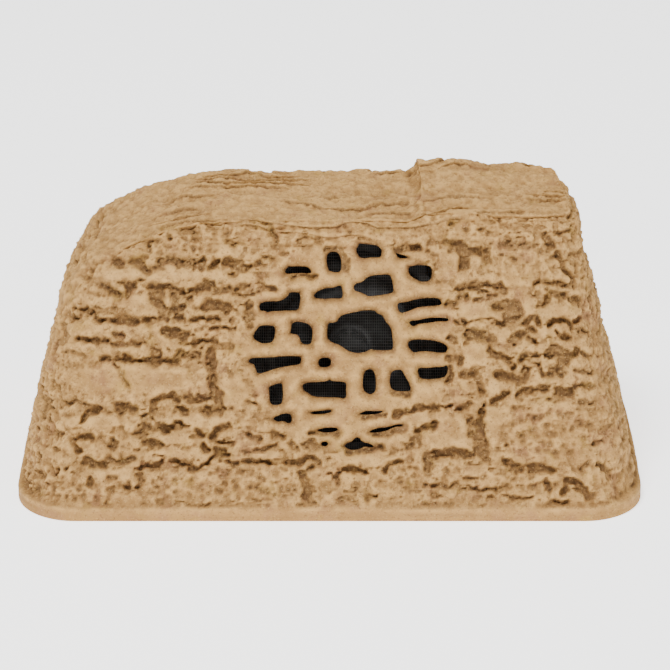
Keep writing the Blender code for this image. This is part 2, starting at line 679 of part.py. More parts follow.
def thin_section(line, thick):
    """A closed profile that follows a line of (radius, height) points at an even thickness."""
    points = np.array(line, float)
    run = np.gradient(points, axis=0)
    normal = np.stack([-run[:, 1], run[:, 0]], axis=1)
    normal /= np.linalg.norm(normal, axis=1, keepdims=True)
    half = thick / 2
    return [tuple(p) for p in points + normal * half] + [
        tuple(p) for p in (points - normal * half)[::-1]
    ]


def ears(name, low, high):
    """The four ears of the driver's frame, a shade thinner than the rim they stand out from."""
    ends = [math.radians(a) for a in (60, 20, -20, -60)]
    outline = [(62.6, 9), (66, 9)] + [
        (BOLT_CIRCLE + 5.5 * math.cos(a), 5.5 * math.sin(a)) for a in ends
    ] + [(66, -9), (62.6, -9)]
    low, high = low + 0.15, high - 0.15
    made = []
    for u, v in bolt_places():
        turn = Matrix.Rotation(math.atan2(v, u), 4, "Z")
        made.append(moved(prism_mesh("ear", outline, low, high), turn))
    return joined_mesh(name, made)


def bolt_holes(name, radius, low, high):
    holes = [prism_mesh("hole", circle(radius, 8, u, v), low, high) for u, v in bolt_places()]
    return joined_mesh(name, holes)


def make_screen(face):
    outline = flat_topped(circle(SCREEN_RADIUS, 48), SCREEN_TOP)
    sheet = prism_mesh("grille_screen", outline, SCREEN_FACE - SCREEN_THICK, SCREEN_FACE)
    screen = object_of("grille_screen", sheet, "black_mesh", face)
    holes = bolt_holes("screen_holes", 2.4, SCREEN_FACE - 5, SCREEN_FACE + 5)
    boolean(screen, cutter("screen_holes", holes, face), "DIFFERENCE")
    for name, low, high, finish in (
        ("screen_ring", RING_FACE - RING_THICK, RING_FACE, "black_abs"),
        ("driver_gasket", SEAL_FACE - SEAL_THICK, SEAL_FACE, "foam"),
    ):
        profile = [(OPENING, low), (FLANGE_RADIUS, low), (FLANGE_RADIUS, high), (OPENING, high)]
        ring = turned(name, profile, finish, face, 40)
        boolean(ring, cutter(name + "_ears", ears(name + "_ears", low, high), face), "UNION")
        holes = bolt_holes(name + "_holes", 2.4, low - 5, high + 5)
        boolean(ring, cutter(name + "_holes", holes, face), "DIFFERENCE")


def make_basket(face):
    flange_back = FLANGE_FACE - FLANGE_THICK
    profile = [
        (FLANGE_RADIUS, FLANGE_FACE), (FLANGE_RADIUS, flange_back), (64, flange_back),
        (45, SHELF - 0.5), (38, SHELF - 2), (38, BASKET_BACK), (17, BASKET_BACK),
        (17, BASKET_BACK + 2), (36, BASKET_BACK + 2), (36, SHELF), (42.5, SHELF),
        (60, LANDING - 1.8), (55, LANDING - 1.8), (55, LANDING), (62, LANDING),
        (62, FLANGE_FACE),
    ]
    basket = turned("driver_basket", profile, "black_steel", face, 30)
    name = "basket_ears"
    boolean(basket, cutter(name, ears(name, flange_back, FLANGE_FACE), face), "UNION")
    window_mid = (LANDING + SHELF) / 2 - 0.8
    windows = []
    for i in range(BASKET_LEGS):
        turn = Matrix.Rotation(math.tau * i / BASKET_LEGS, 4, "Z")
        outline = box_outline(34, 32, 55, 0)
        windows.append(
            moved(prism_mesh("window", outline, window_mid - 7, window_mid + 7.5), turn)
        )
    name = "basket_windows"
    boolean(basket, cutter(name, joined_mesh(name, windows), face), "DIFFERENCE")
    holes = bolt_holes("basket_holes", 2.4, flange_back - 5, FLANGE_FACE + 5)
    boolean(basket, cutter("basket_holes", holes, face), "DIFFERENCE")


def make_moving_parts(face):
    """Surround, cone, coil and spider: everything that the signal moves, and what holds it."""
    level = LANDING + GAP + 0.4
    roll_centre, roll = 50.5, 5.0
    arc = [
        (roll_centre + roll * math.cos(a), level + roll * math.sin(a))
        for a in np.linspace(0, math.pi, 7)
    ]
    line = [(61.5, level), (58.5, level)] + arc + [(42.8, level)]
    turned("driver_surround", thin_section(line, 0.8), "rubber", face, 28)

    rim = level - 0.4 - GAP - 0.4
    flare = [
        (13.4 + 29 * t, NECK + (rim - NECK) * (0.72 * t + 0.28 * math.sin(t * math.pi / 2)))
        for t in np.linspace(0, 1, 6)
    ]
    line = [(45.3, rim)] + flare[::-1]
    turned("driver_cone", thin_section(line, 0.8), "cone_plastic", face, 28)

    coil_mid = PLATE_FACE - 2.5
    inner, outer = COIL_RADIUS, COIL_RADIUS + 0.5
    bottom, top = coil_mid - 4.2, NECK + 2
    turned("coil_former", [(inner, bottom), (outer, bottom), (outer, top), (inner, top)],
           "kapton", face)
    turned("coil_winding",
           [(outer + GAP, coil_mid - 3.6), (outer + 1.1, coil_mid - 3.6),
            (outer + 1.1, coil_mid + 3.6), (outer + GAP, coil_mid + 3.6)], "copper", face)

    waves = [
        (r, SHELF + 0.55 + 0.9 * (-1) ** i * (0 < i < 8))
        for i, r in enumerate(np.linspace(13.3, 41.6, 11))
    ]
    turned("driver_spider", thin_section(waves, 0.5), "spider_cloth", face, 22)


def make_magnet(face):
    turned("magnet_top_plate",
           [(14.6, PLATE_FACE - 5), (36, PLATE_FACE - 5), (36, PLATE_FACE), (14.6, PLATE_FACE)],
           "zinc", face)
    low = MAGNET_FACE - 15
    turned("magnet_ring",
           [(20, low), (39, low), (40, low + 1), (40, MAGNET_FACE - 1), (39, MAGNET_FACE),
            (20, MAGNET_FACE)], "ferrite", face, 32)
    vent = 4.4
    turned("magnet_yoke",
           [(vent, YOKE_BACK), (34.5, YOKE_BACK), (36, YOKE_BACK + 1.5), (36, YOKE_FACE),
            (POLE_RADIUS, YOKE_FACE), (POLE_RADIUS, POLE_FRONT), (vent, POLE_FRONT)],
           "zinc", face)


def make_tweeter(face):
    """The tweeter stands on a hollow post in front of the pole."""
    foot = POLE_FRONT + GAP
    turned("tweeter_post",
           [(3.2, foot), (9, foot), (9, foot + 2), (5, foot + 3), (5, TWEETER_BACK - GAP),
            (3.2, TWEETER_BACK - GAP)], "black_abs", face, 16)
    front = TWEETER_BACK + 12
    turned("tweeter_housing",
           [(3.2, TWEETER_BACK), (13.5, TWEETER_BACK), (15, TWEETER_BACK + 1.5), (15, front),
            (13.5, front), (13.5, TWEETER_BACK + 1.5), (3.2, TWEETER_BACK + 1.5)],
           "black_abs", face)
    low = TWEETER_BACK + 1.5 + GAP
    turned("tweeter_magnet", [(3.2, low), (12, low), (12, low + 4), (3.2, low + 4)],
           "ferrite", face)
    base = front - 1.5
    cap = [
        (9.8 * math.sin(a), base + 3.6 * math.cos(a)) for a in np.linspace(0, math.pi / 2, 5)
    ]
    skirt = [(9.8, base - 3.2), (9.2, base - 3.2), (9.2, base - 0.4)]
    inner = [
        (9.2 * math.sin(a), base - 0.4 + 3.3 * math.cos(a))
        for a in np.linspace(math.pi / 2, 0, 5)[1:]
    ]
    turned("tweeter_dome", cap + skirt + inner, "silk", face)
    turned("tweeter_surround",
           [(10.1, base - 0.5), (12.9, base - 0.5), (12.9, base), (11.5, base + 0.9),
            (10.1, base)], "rubber", face)
    guard = front + GAP
    faceplate = turned("tweeter_faceplate",
                       [(11.2, guard), (15, guard), (15, guard + 3.8), (13.4, guard + 5),
                        (12, guard + 5), (11.2, guard + 4)], "black_abs", face)
    bars = [
        prism_mesh("bar", box_outline(*size), guard + 3.2, guard + 4.6)
        for size in ((25, 1.6), (1.6, 25))
    ]
    for i, bar in enumerate(bars):
        boolean(faceplate, cutter(f"guard_bar_{i}", bar, face), "UNION")


# ---------------------------------------------------------------- terminals and wires


def make_terminals(face):
    """A terminal strip on the lowest basket leg, its two tabs, and the braids to the cone."""
    top, bottom = (64, FLANGE_FACE - FLANGE_THICK), (45, SHELF - 0.5)
    slope = math.atan2(top[0] - bottom[0], top[1] - bottom[1])
    middle = ((top[0] + bottom[0]) / 2, (top[1] + bottom[1]) / 2)
    strip_thick = 1.6
    out = strip_thick / 2 + GAP + 0.25
    leg = bpy.data.objects.new("terminal_frame", None)
    bpy.context.scene.collection.objects.link(leg)
    leg.parent = face
    # The strip's frame: X across the leg, Y out of its rear face, Z up the leg.
    leg.location = Vector(
        (0, -(middle[0] + out * math.cos(slope)), middle[1] - out * math.sin(slope))
    ) * MM
    leg.rotation_euler = (slope, 0, 0)
    block("terminal_strip", (29, strip_thick, 13), (0, 0, 0), "phenolic", leg, edge=0.3)
    for name, x in (("terminal_tab_pos", -7.0), ("terminal_tab_neg", 7.0)):
        outline = [(-3.15, -9), (3.15, -9), (3.15, 4), (1.6, 6), (-1.6, 6), (-3.15, 4)]
        tab = prism_mesh(name, outline, 0, 0.8)
        tab = moved(tab, Matrix.Rotation(math.pi / 2, 4, "X"))
        made = object_of(name, tab, "zinc", leg)
        made.location = Vector((x, -strip_thick / 2 - GAP, 0)) * MM
    for name, side, finish in (("tinsel_lead_pos", -1, "copper"), ("tinsel_lead_neg", 1, "copper")):
        route = [(13.2, -50.5, -36.5), (12.6, -45, -39.5), (11.0, -36, -41.2), (9.5, -28, -40.5),
                 (8.6, -22.5, -37.6)]
        wire(name, [(side * u, v, w) for u, v, w in route], 0.6, finish, face, 10)


def spline_points(route, count):
    """Evenly spaced points on one smooth curve through the route's own points."""
    points = [Vector(p) for p in route]
    padded = [2 * points[0] - points[1], *points, 2 * points[-1] - points[-2]]
    dense = []
    for a, b, c, d in zip(padded, padded[1:], padded[2:], padded[3:]):
        for i in range(12):
            t = i / 12
            dense.append(
                0.5 * (2 * b + (c - a) * t + (2 * a - 5 * b + 4 * c - d) * t * t
                       + (3 * b - a - 3 * c + d) * t**3)
            )
    dense.append(points[-1])
    run = [0.0]
    for a, b in zip(dense, dense[1:]):
        run.append(run[-1] + (b - a).length)
    wanted = np.linspace(0, run[-1], count)
    axes = [np.interp(wanted, run, [p[k] for p in dense]) for k in range(3)]
    return list(zip(*(axis.tolist() for axis in axes)))


def wire(name, route, radius, finish, parent, count):
    curve = bpy.data.curves.new(name, "CURVE")
    curve.dimensions = "3D"
    curve.bevel_depth = radius * MM
    curve.bevel_resolution = 1
    curve.use_fill_caps = True
    line = curve.splines.new("POLY")
    places = spline_points(route, count)
    line.points.add(len(places) - 1)
    for point, place in zip(line.points, places):
        point.co = (*(Vector(place) * MM), 1)
    curve.materials.append(MATERIALS[finish])
    made = bpy.data.objects.new(name, curve)
    bpy.context.scene.collection.objects.link(made)
    if parent:
        made.parent = parent
    return made


def face_to_world(u, v, w):
    """A place in the face frame, in world millimetres."""
    up = Vector((0, math.sin(FACE_TILT), math.cos(FACE_TILT)))
    out = Vector((0, -math.cos(FACE_TILT), math.sin(FACE_TILT)))
    return Vector((AXIS_X, axis_y(), AXIS_Z)) + Vector((u, 0, 0)) + v * up + w * out


def make_wires():
    """Two pairs from the driver to the board."""
    floor = BOARD_LOW + BOARD_THICK + GAP
    for name, u, finish in (("woofer_wire_red", -7.0, "red_wire"), ("woofer_wire_black", 7.0, "black_wire")):
        start = face_to_world(u, -53.2, -45.2)
        end = (BOARD_X + 20 + u / 3, BOARD_Y - 22)
        route = [start, start + Vector((0, 6, -5)), (start.x * 0.8, -30, 17 + u / 7),
                 (end[0] + 2, 2, 16 + u / 7), (end[0], end[1] - 8, floor + 6), (*end, floor + 0.9)]
        wire(name, route, 0.95, finish, None, 18)
    tweeter_wires = (("tweeter_wire_red", -1.5, "red_wire"), ("tweeter_wire_black", 1.5, "black_wire"))
    for name, u, finish in tweeter_wires:
        inside = [face_to_world(u, 0, w) for w in (TWEETER_BACK - 2, POLE_FRONT, YOKE_BACK - 2)]
        end = (BOARD_X - 8 + u * 2, BOARD_Y - 20)
        bend = inside[-1] + Vector((u, 9, -3))
        route = [*inside, bend, (end[0] + 14 + u, end[1] + 4, 46), (end[0] + 4, end[1] - 1, 30),
                 (*end, floor + 0.9)]
        wire(name, route, 0.8, finish, None, 22)


# ---------------------------------------------------------------- cable gland


def gland_frame(forward):
    """+Z out of the back wall, the origin on the flat seat or so far in front of it."""
    return along((0, 1, 0), (GLAND_X, GLAND_FLOOR + forward, GLAND_Z))


def make_gland():
    parts = {
        "gland_washer": ([(8.2, 0.3), (11.5, 0.3), (11.5, 1.8), (8.2, 1.8)], "rubber", 20),
        "gland_seal": ([(3.2, 8.9), (5.9, 8.9), (6.3, 9.4), (6.3, 13.6), (4.6, 14.9), (3.2, 14.9)],
                       "rubber", 16),
    }
    for name, (profile, finish, segments) in parts.items():
        turned(name, profile, finish, None, segments).matrix_world = gland_frame(0)
    body = object_of("gland_body", prism_mesh("gland_body", circle(11.2, 6), 2.1, 6.1), "nylon")
    body.matrix_world = gland_frame(0)
    tube = cutter("gland_tube", prism_mesh("gland_tube", circle(7.7, 16), -13, 10.5))
    bore = cutter("gland_body_bore", prism_mesh("gland_body_bore", circle(5.2, 16), -20, 8.6))
    throat = cutter("gland_throat", prism_mesh("gland_throat", circle(6.7, 16), 8.5, 20))
    for helper, operation in ((tube, "UNION"), (bore, "DIFFERENCE"), (throat, "DIFFERENCE")):
        helper.matrix_world = gland_frame(0)
        boolean(body, helper, operation)
    dome = [(8.0, 6.4), (10.4, 6.4), (10.4, 14), (8.8, 17), (6.4, 18.4), (4.0, 18.4), (4.0, 15.2),
            (8.0, 13.6)]
    turned("gland_dome_nut", dome, "nylon", None, 12).matrix_world = gland_frame(0)
    nut = object_of("gland_locknut", prism_mesh("gland_locknut", circle(11.5, 6), -10.8, -6.4), "nylon")
    nut.matrix_world = gland_frame(0)
    hole = cutter("locknut_bore", prism_mesh("locknut_bore", circle(8.05, 16), -20, 5))
    hole.matrix_world = gland_frame(0)
    boolean(nut, hole, "DIFFERENCE")


def make_wadding():
    """A pad of acoustic wadding glued under the roof, behind the driver."""
    across, deep, thick = 8, 3, 16
    grid_x, grid_y = np.meshgrid(
        np.linspace(-96, 104, across + 1), np.linspace(-44, 48, deep + 1), indexing="ij"
    )
    top = leaned(grid_x, grid_y, top_height(grid_x, grid_y) - WALL - 2.0).reshape(-1, 3)
    under = top - [0, 0, thick]
    points = top.tolist() + under.tolist()
    count, faces = len(top), []
    for i in range(across):
        for j in range(deep):
            a = i * (deep + 1) + j
            quad = (a, a + deep + 1, a + deep + 2, a + 1)
            faces += [quad, tuple(count + n for n in quad)]
    rim = [i * (deep + 1) for i in range(across)]
    rim += [across * (deep + 1) + j for j in range(deep)]
    rim += [i * (deep + 1) + deep for i in range(across, 0, -1)]
    rim += list(range(deep, 0, -1))
    for a, b in zip(rim, rim[1:] + rim[:1]):
        faces.append((a, b, count + b, count + a))
    pad = mesh_of("acoustic_wadding", points, faces)
    object_of("acoustic_wadding", smooth(pad), "wadding")


# ---------------------------------------------------------------- the whole object


def axis_y():
    """Where the driver's axis meets the front face, along Y."""
    return -DEPTH / 2 + math.tan(FACE_TILT) * (AXIS_Z - SKIRT)


def make_face_frame():
    face = bpy.data.objects.new("face_frame", None)
    bpy.context.scene.collection.objects.link(face)
    face.location = Vector((AXIS_X, axis_y(), AXIS_Z)) * MM
    face.rotation_euler = (math.pi / 2 - FACE_TILT, 0, 0)
    bpy.context.view_layer.update()
    return face


for old in list(bpy.data.objects):
    bpy.data.objects.remove(old)
MATERIALS = make_materials()
face_frame = make_face_frame()
make_rock_shell(face_frame)
make_base(face_frame)
make_crossover()
make_screws(face_frame)
make_screen(face_frame)
make_basket(face_frame)
make_moving_parts(face_frame)
make_magnet(face_frame)
make_tweeter(face_frame)
make_terminals(face_frame)
make_wires()
make_gland()
make_wadding()
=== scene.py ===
"""The looks of the rock loudspeaker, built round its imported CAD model.

The weathered shell, the woven screen and the pieces that flex get meshes of their own here;
every other part keeps its CAD mesh and gets a material. Lengths are millimetres and become
metres when a mesh is made. As in the CAD, places on the front face are (u, v, w): right, up
the face and out of it, from the point where the driver's axis meets the face.
"""

import itertools
import math

import bmesh
import bpy
import numpy as np
from mathutils import Matrix, Vector
from mathutils.kdtree import KDTree


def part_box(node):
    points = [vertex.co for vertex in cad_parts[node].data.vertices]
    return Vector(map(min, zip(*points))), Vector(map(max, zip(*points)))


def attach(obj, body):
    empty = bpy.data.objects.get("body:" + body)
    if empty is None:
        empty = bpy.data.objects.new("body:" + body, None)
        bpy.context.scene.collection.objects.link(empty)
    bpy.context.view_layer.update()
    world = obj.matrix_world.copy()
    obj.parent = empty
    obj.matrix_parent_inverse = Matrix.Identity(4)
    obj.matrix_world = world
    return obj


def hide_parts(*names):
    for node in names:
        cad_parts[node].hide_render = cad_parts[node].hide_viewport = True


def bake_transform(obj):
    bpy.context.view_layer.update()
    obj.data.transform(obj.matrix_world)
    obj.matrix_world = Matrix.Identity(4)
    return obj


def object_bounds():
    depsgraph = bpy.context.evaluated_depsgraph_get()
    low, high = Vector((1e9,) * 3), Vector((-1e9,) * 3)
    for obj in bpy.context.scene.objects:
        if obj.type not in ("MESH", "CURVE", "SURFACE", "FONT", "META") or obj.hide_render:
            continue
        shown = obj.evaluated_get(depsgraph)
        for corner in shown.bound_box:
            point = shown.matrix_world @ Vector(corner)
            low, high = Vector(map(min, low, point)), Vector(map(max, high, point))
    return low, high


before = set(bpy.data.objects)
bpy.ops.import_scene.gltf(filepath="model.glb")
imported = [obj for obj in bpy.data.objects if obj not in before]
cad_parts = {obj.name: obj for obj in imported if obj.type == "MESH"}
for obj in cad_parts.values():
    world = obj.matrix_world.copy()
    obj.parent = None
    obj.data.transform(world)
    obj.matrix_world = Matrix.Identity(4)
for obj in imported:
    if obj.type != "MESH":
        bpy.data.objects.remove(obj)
CAD_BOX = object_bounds()

MM = 0.001

# ---------------------------------------------------------------- dimensions shared with the CAD
WIDTH, DEPTH = 392.0, 228.0
FRONT_RIDGE, BACK_RIDGE = 170.0, 180.0
SLAB = 10.0
SKIRT = 9.0
CORNER = 38.0
FRONT_ROUND, BACK_ROUND, LEFT_ROUND, RIGHT_ROUND = 12.0, 22.0, 24.0, 9.0
FACE_TILT = math.radians(25)
LEAN_BACK, LEAN_LEFT, LEAN_RIGHT = 0.482, 0.22, 0.25
TAPER_LEFT, TAPER_RIGHT = 6.0, 8.0
AXIS_X, AXIS_Z = 12.4, 100.0
AXIS_Y = -DEPTH / 2 + math.tan(FACE_TILT) * (AXIS_Z - SKIRT)
PAD_RADIUS, PAD_TOP = 78.0, 69.0
PAD_FACE, PAD_FRONT = -11.0, -7.9
SCREEN_RADIUS, SCREEN_TOP = 74.0, 67.0
SCREEN_MID = -11.55
BOLT_CIRCLE = 70.0
LEDGE_LOW, LEDGE_HIGH = 7.0, 13.0
LEDGE_INSET, REBATE_INSET = 17.0, 7.0
GLAND_X, GLAND_Z, GLAND_FLOOR = -90.0, 31.5, 95.0

UP_FACE = np.array([0, math.sin(FACE_TILT), math.cos(FACE_TILT)])
OUT_OF_FACE = np.array([0, -math.cos(FACE_TILT), math.sin(FACE_TILT)])
FACE_ORIGIN = np.array([AXIS_X, AXIS_Y, AXIS_Z])
FACE_MATRIX = Matrix.Translation(Vector(FACE_ORIGIN) * MM) @ Matrix.Rotation(
    math.pi / 2 - FACE_TILT, 4, "X"
)

# ---------------------------------------------------------------- the shell's own numbers
HOLLOW_INSET = 10.0  # leaves room in the wall for the deepest pockets
LEAN_CHANGE = (math.tan(FACE_TILT) + LEAN_BACK) / DEPTH  # of slope, for each mm of depth
ACROSS, DEEP, ROWS, CAP_TURNS = 420, 150, 185, 44
GRILLE_RADIUS = 66.0  # the ribs between the holes are smoother than the rock round them
EDGE_DROP, EDGE_WIDTH = 4.6, 6.5  # how the ribs round off towards a hole
DEEPEST, PROUDEST = -5.8, 1.6  # limits of the relief, before it's sunk
SUNK = 1.4  # how far the whole relief lies inside the plain form
SEAT_RADIUS, POCKET_RADIUS, BORE_RADIUS = 18, 16, 8.4  # at the cable gland
BOLT_PILOT, SCREW_PILOT = 2.2, 2.0  # radii of the holes that the screws bite in

# ---------------------------------------------------------------- the studio
WORLD_LIGHT = 0.45
FLOOR_GLOW = 1.8  # keeps the floor as pale as a studio sweep
LIGHTS = {  # place from the rock's middle in metres, size in metres, power in watts
    "key": ((-0.5, -0.75, 2.1), 0.8, 60),
    "fill": ((1.4, -1.6, 0.9), 1.4, 11),
}

# ---------------------------------------------------------------- what is on the front face

HOLES = {
    "upper_left_slot": [
        (-40, 45), (-40, 47.5), (-38, 49.8), (-30, 50), (-26, 49.5), (-24, 47.5), (-23.6, 45.3),
        (-30, 45.7),
    ],
    "upper_tall": [
        (-14.3, 52.5), (-14, 57), (-12, 59), (-8, 59), (-6, 57), (-4.8, 52), (-5.2, 47.5),
        (-6.5, 46), (-12.5, 46.5), (-13.5, 49),
    ],
    "boot": [
        (-56.3, 25), (-55, 27.3), (-50, 28.2), (-43, 28), (-38, 31.5), (-37.5, 33.8), (-31, 33.8),
        (-30.3, 30), (-31.3, 24.5), (-32.3, 22.5), (-40, 22.3), (-49, 21.8), (-51, 21.2),
        (-53, 22.3), (-55.3, 22),
    ],
    "wedge": [
        (-22, 30), (-22, 33), (-16, 36.3), (-10, 36.5), (-6.5, 38), (-5, 37.8), (-4, 33),
        (-4.7, 29.5), (-10, 30), (-15, 29.5),
    ],
    "left_block": [
        (-60, 7), (-57.5, 11), (-55.5, 13.2), (-48, 13.2), (-46, 11.5), (-46.5, 6), (-48, 2.3),
        (-53, 1.9), (-55, 2), (-59.5, 4.5),
    ],
    "hook": [
        (-36.5, 10), (-35.8, 15.5), (-28, 15.2), (-23, 12.2), (-23, 5), (-24.3, 0.8), (-30, 1.6),
        (-31.2, 6), (-32.5, 7.5), (-37, 8),
    ],
    "window": [
        (-14, 8), (-13.5, 14), (-12, 14.7), (-7.5, 15.3), (-7, 17.5), (-4, 19.9), (4, 21.5),
        (10, 22.7), (16, 22.5), (17, 20.7), (20.5, 19.5), (22.5, 15.5), (26, 11.5), (26.7, 6),
        (27.3, 0), (26.3, -2.5), (15.5, -2.3), (13.5, -1.5), (10, -3.5), (5, -4.2), (1, -3.5),
        (-3, -1.5), (-6, 1), (-11, 2.5), (-13.7, 5),
    ],
    "upper_centre": [
        (4, 60.5), (5.5, 62.5), (5.8, 64.3), (10, 63.8), (17, 63), (19.5, 61), (20.2, 59),
        (19.6, 56), (18, 55.1), (14, 55.4), (9, 54.7), (6.5, 55.3), (5, 57.5),
    ],
    "upper_sliver": [
        (28.3, 59), (30, 57.6), (34, 56.8), (36.8, 55), (33, 54.7), (30, 55),
    ],
    "flask": [
        (2.7, 34.5), (2.6, 38.8), (8, 40), (11.5, 43.5), (16, 44.5), (24, 44.9), (26, 43.8),
        (27.3, 37), (27.7, 34), (24, 32.6), (17, 31.6), (11.5, 31), (9.5, 32.5), (7, 33.7),
    ],
    "upper_right": [
        (36.5, 49.5), (42, 50.7), (49, 50.4), (51, 49.3), (51.5, 44), (49.8, 40.8), (46, 40),
        (43, 40.8), (39, 43), (36.8, 45.2),
    ],
    "right_band_high": [
        (29.6, 26), (31, 27.2), (36, 27.8), (41, 29.3), (48, 30.2), (54, 30.2), (56.3, 29.3),
        (57.8, 25.8), (52, 25.3), (43, 24.6), (38, 22.5), (33, 20.6), (31, 21.3), (30, 24),
    ],
    "right_crack": [
        (36.8, 15), (38.5, 16), (43, 16.4), (50, 18), (60.5, 17.8), (61.8, 16.7), (60.8, 15.6),
        (56, 15.8), (50, 14.7), (43, 14.2), (40.5, 12.7), (38.8, 12.6),
    ],
    "right_band_low": [
        (36.5, 0), (36.3, 2.5), (38, 3.8), (42, 4.4), (50, 4), (55, 3.2), (59.5, 1.4), (61.3, -1),
        (60, -3.9), (56, -4), (50, -3), (44, -3), (40, -4.1), (38, -2),
    ],
    "long_left": [
        (-63, -8.8), (-60.5, -7), (-50, -6.9), (-40, -6), (-30, -6), (-30, -9), (-31, -11.3),
        (-36, -11.8), (-45, -13.5), (-51, -15.5), (-57, -17.6), (-58.5, -14), (-59.2, -11.3),
        (-62.5, -10),
    ],
    "small_square": [
        (-19.5, -10.5), (-19, -7.8), (-16, -6.9), (-12.3, -7.3), (-11.3, -9), (-11.7, -11.7),
        (-14.5, -13.2), (-18.5, -12.8),
    ],
    "left_tall": [
        (-50.2, -26), (-49.6, -24.7), (-42, -22.1), (-41.5, -26), (-41.2, -31), (-42, -35),
        (-43.5, -36.3), (-48, -36.6), (-49.7, -34.5),
    ],
    "lower_band": [
        (-29.3, -24.5), (-28, -22.6), (-14.5, -21.8), (-12.5, -20.4), (-11, -21.6), (-3, -21.8),
        (-1.8, -24), (-2.3, -27.3), (-1.9, -31.3), (-3.5, -32.6), (-6.5, -31.8), (-23, -31.5),
        (-25.3, -29), (-27.5, -28.2), (-28.8, -26.5),
    ],
    "lower_left": [
        (-47.8, -45), (-45, -43), (-40, -41.4), (-36.7, -42), (-36, -44), (-35.8, -47), (-38, -48),
        (-40.5, -46.7), (-42.5, -46.3), (-44, -47), (-46, -46.3),
    ],
    "sliver_left": [
        (-25, -41), (-20, -40.1), (-12, -39.4), (-11, -40), (-12.5, -41.6), (-23, -42.3),
    ],
    "lens": [
        (-20.5, -52), (-16, -50.7), (-11, -50.2), (-8, -50.6), (-7, -52), (-10, -53.4),
        (-17, -53.5),
    ],
    "pinhole": [
        (-17.8, -60.6), (-16.8, -59.3), (-14.4, -59.1), (-13.1, -60.4), (-14, -62), (-16.6, -62.1),
    ],
    "tall_slot": [
        (8.2, -20), (9.5, -15.2), (12.5, -13.8), (15.3, -15.3), (16.4, -20), (16.5, -27),
        (15, -29.2), (12.5, -30), (9.2, -28), (8.2, -25),
    ],
    "keystone": [
        (25, -20), (26, -15.6), (29.5, -14.4), (32.5, -14.4), (34.5, -18.5), (37.3, -23),
        (38.3, -27.5), (36, -28), (30, -28), (26, -26.5), (25, -23),
    ],
    "right_block": [
        (42.3, -15), (43, -13.2), (48, -13.5), (52, -12.9), (58.5, -12.8), (60, -11.6),
        (61.3, -12.5), (61, -17), (58.5, -19.7), (50, -20.5), (43.5, -20),
    ],
    "sliver_right": [
        (5.7, -42.4), (8, -40.8), (11, -39.9), (15, -40.3), (21.5, -39.9), (19, -41.8), (11, -42.6),
    ],
    "crack_right": [
        (12, -53.3), (15, -51.3), (20, -50.4), (25, -49.9), (29, -48.4), (33.5, -48.2), (33, -49.6),
        (28, -50), (22, -53), (14, -53.8),
    ],
    "arrowhead": [
        (-3.5, -61.8), (-1, -59.8), (1.5, -59.2), (3, -57.2), (4.5, -56.4), (6.5, -57),
        (7.5, -59.2), (12, -60.2), (15.5, -62), (14.5, -63), (9, -62.2), (6.5, -64), (2, -64.7),
        (-1.5, -63.6),
    ],
}

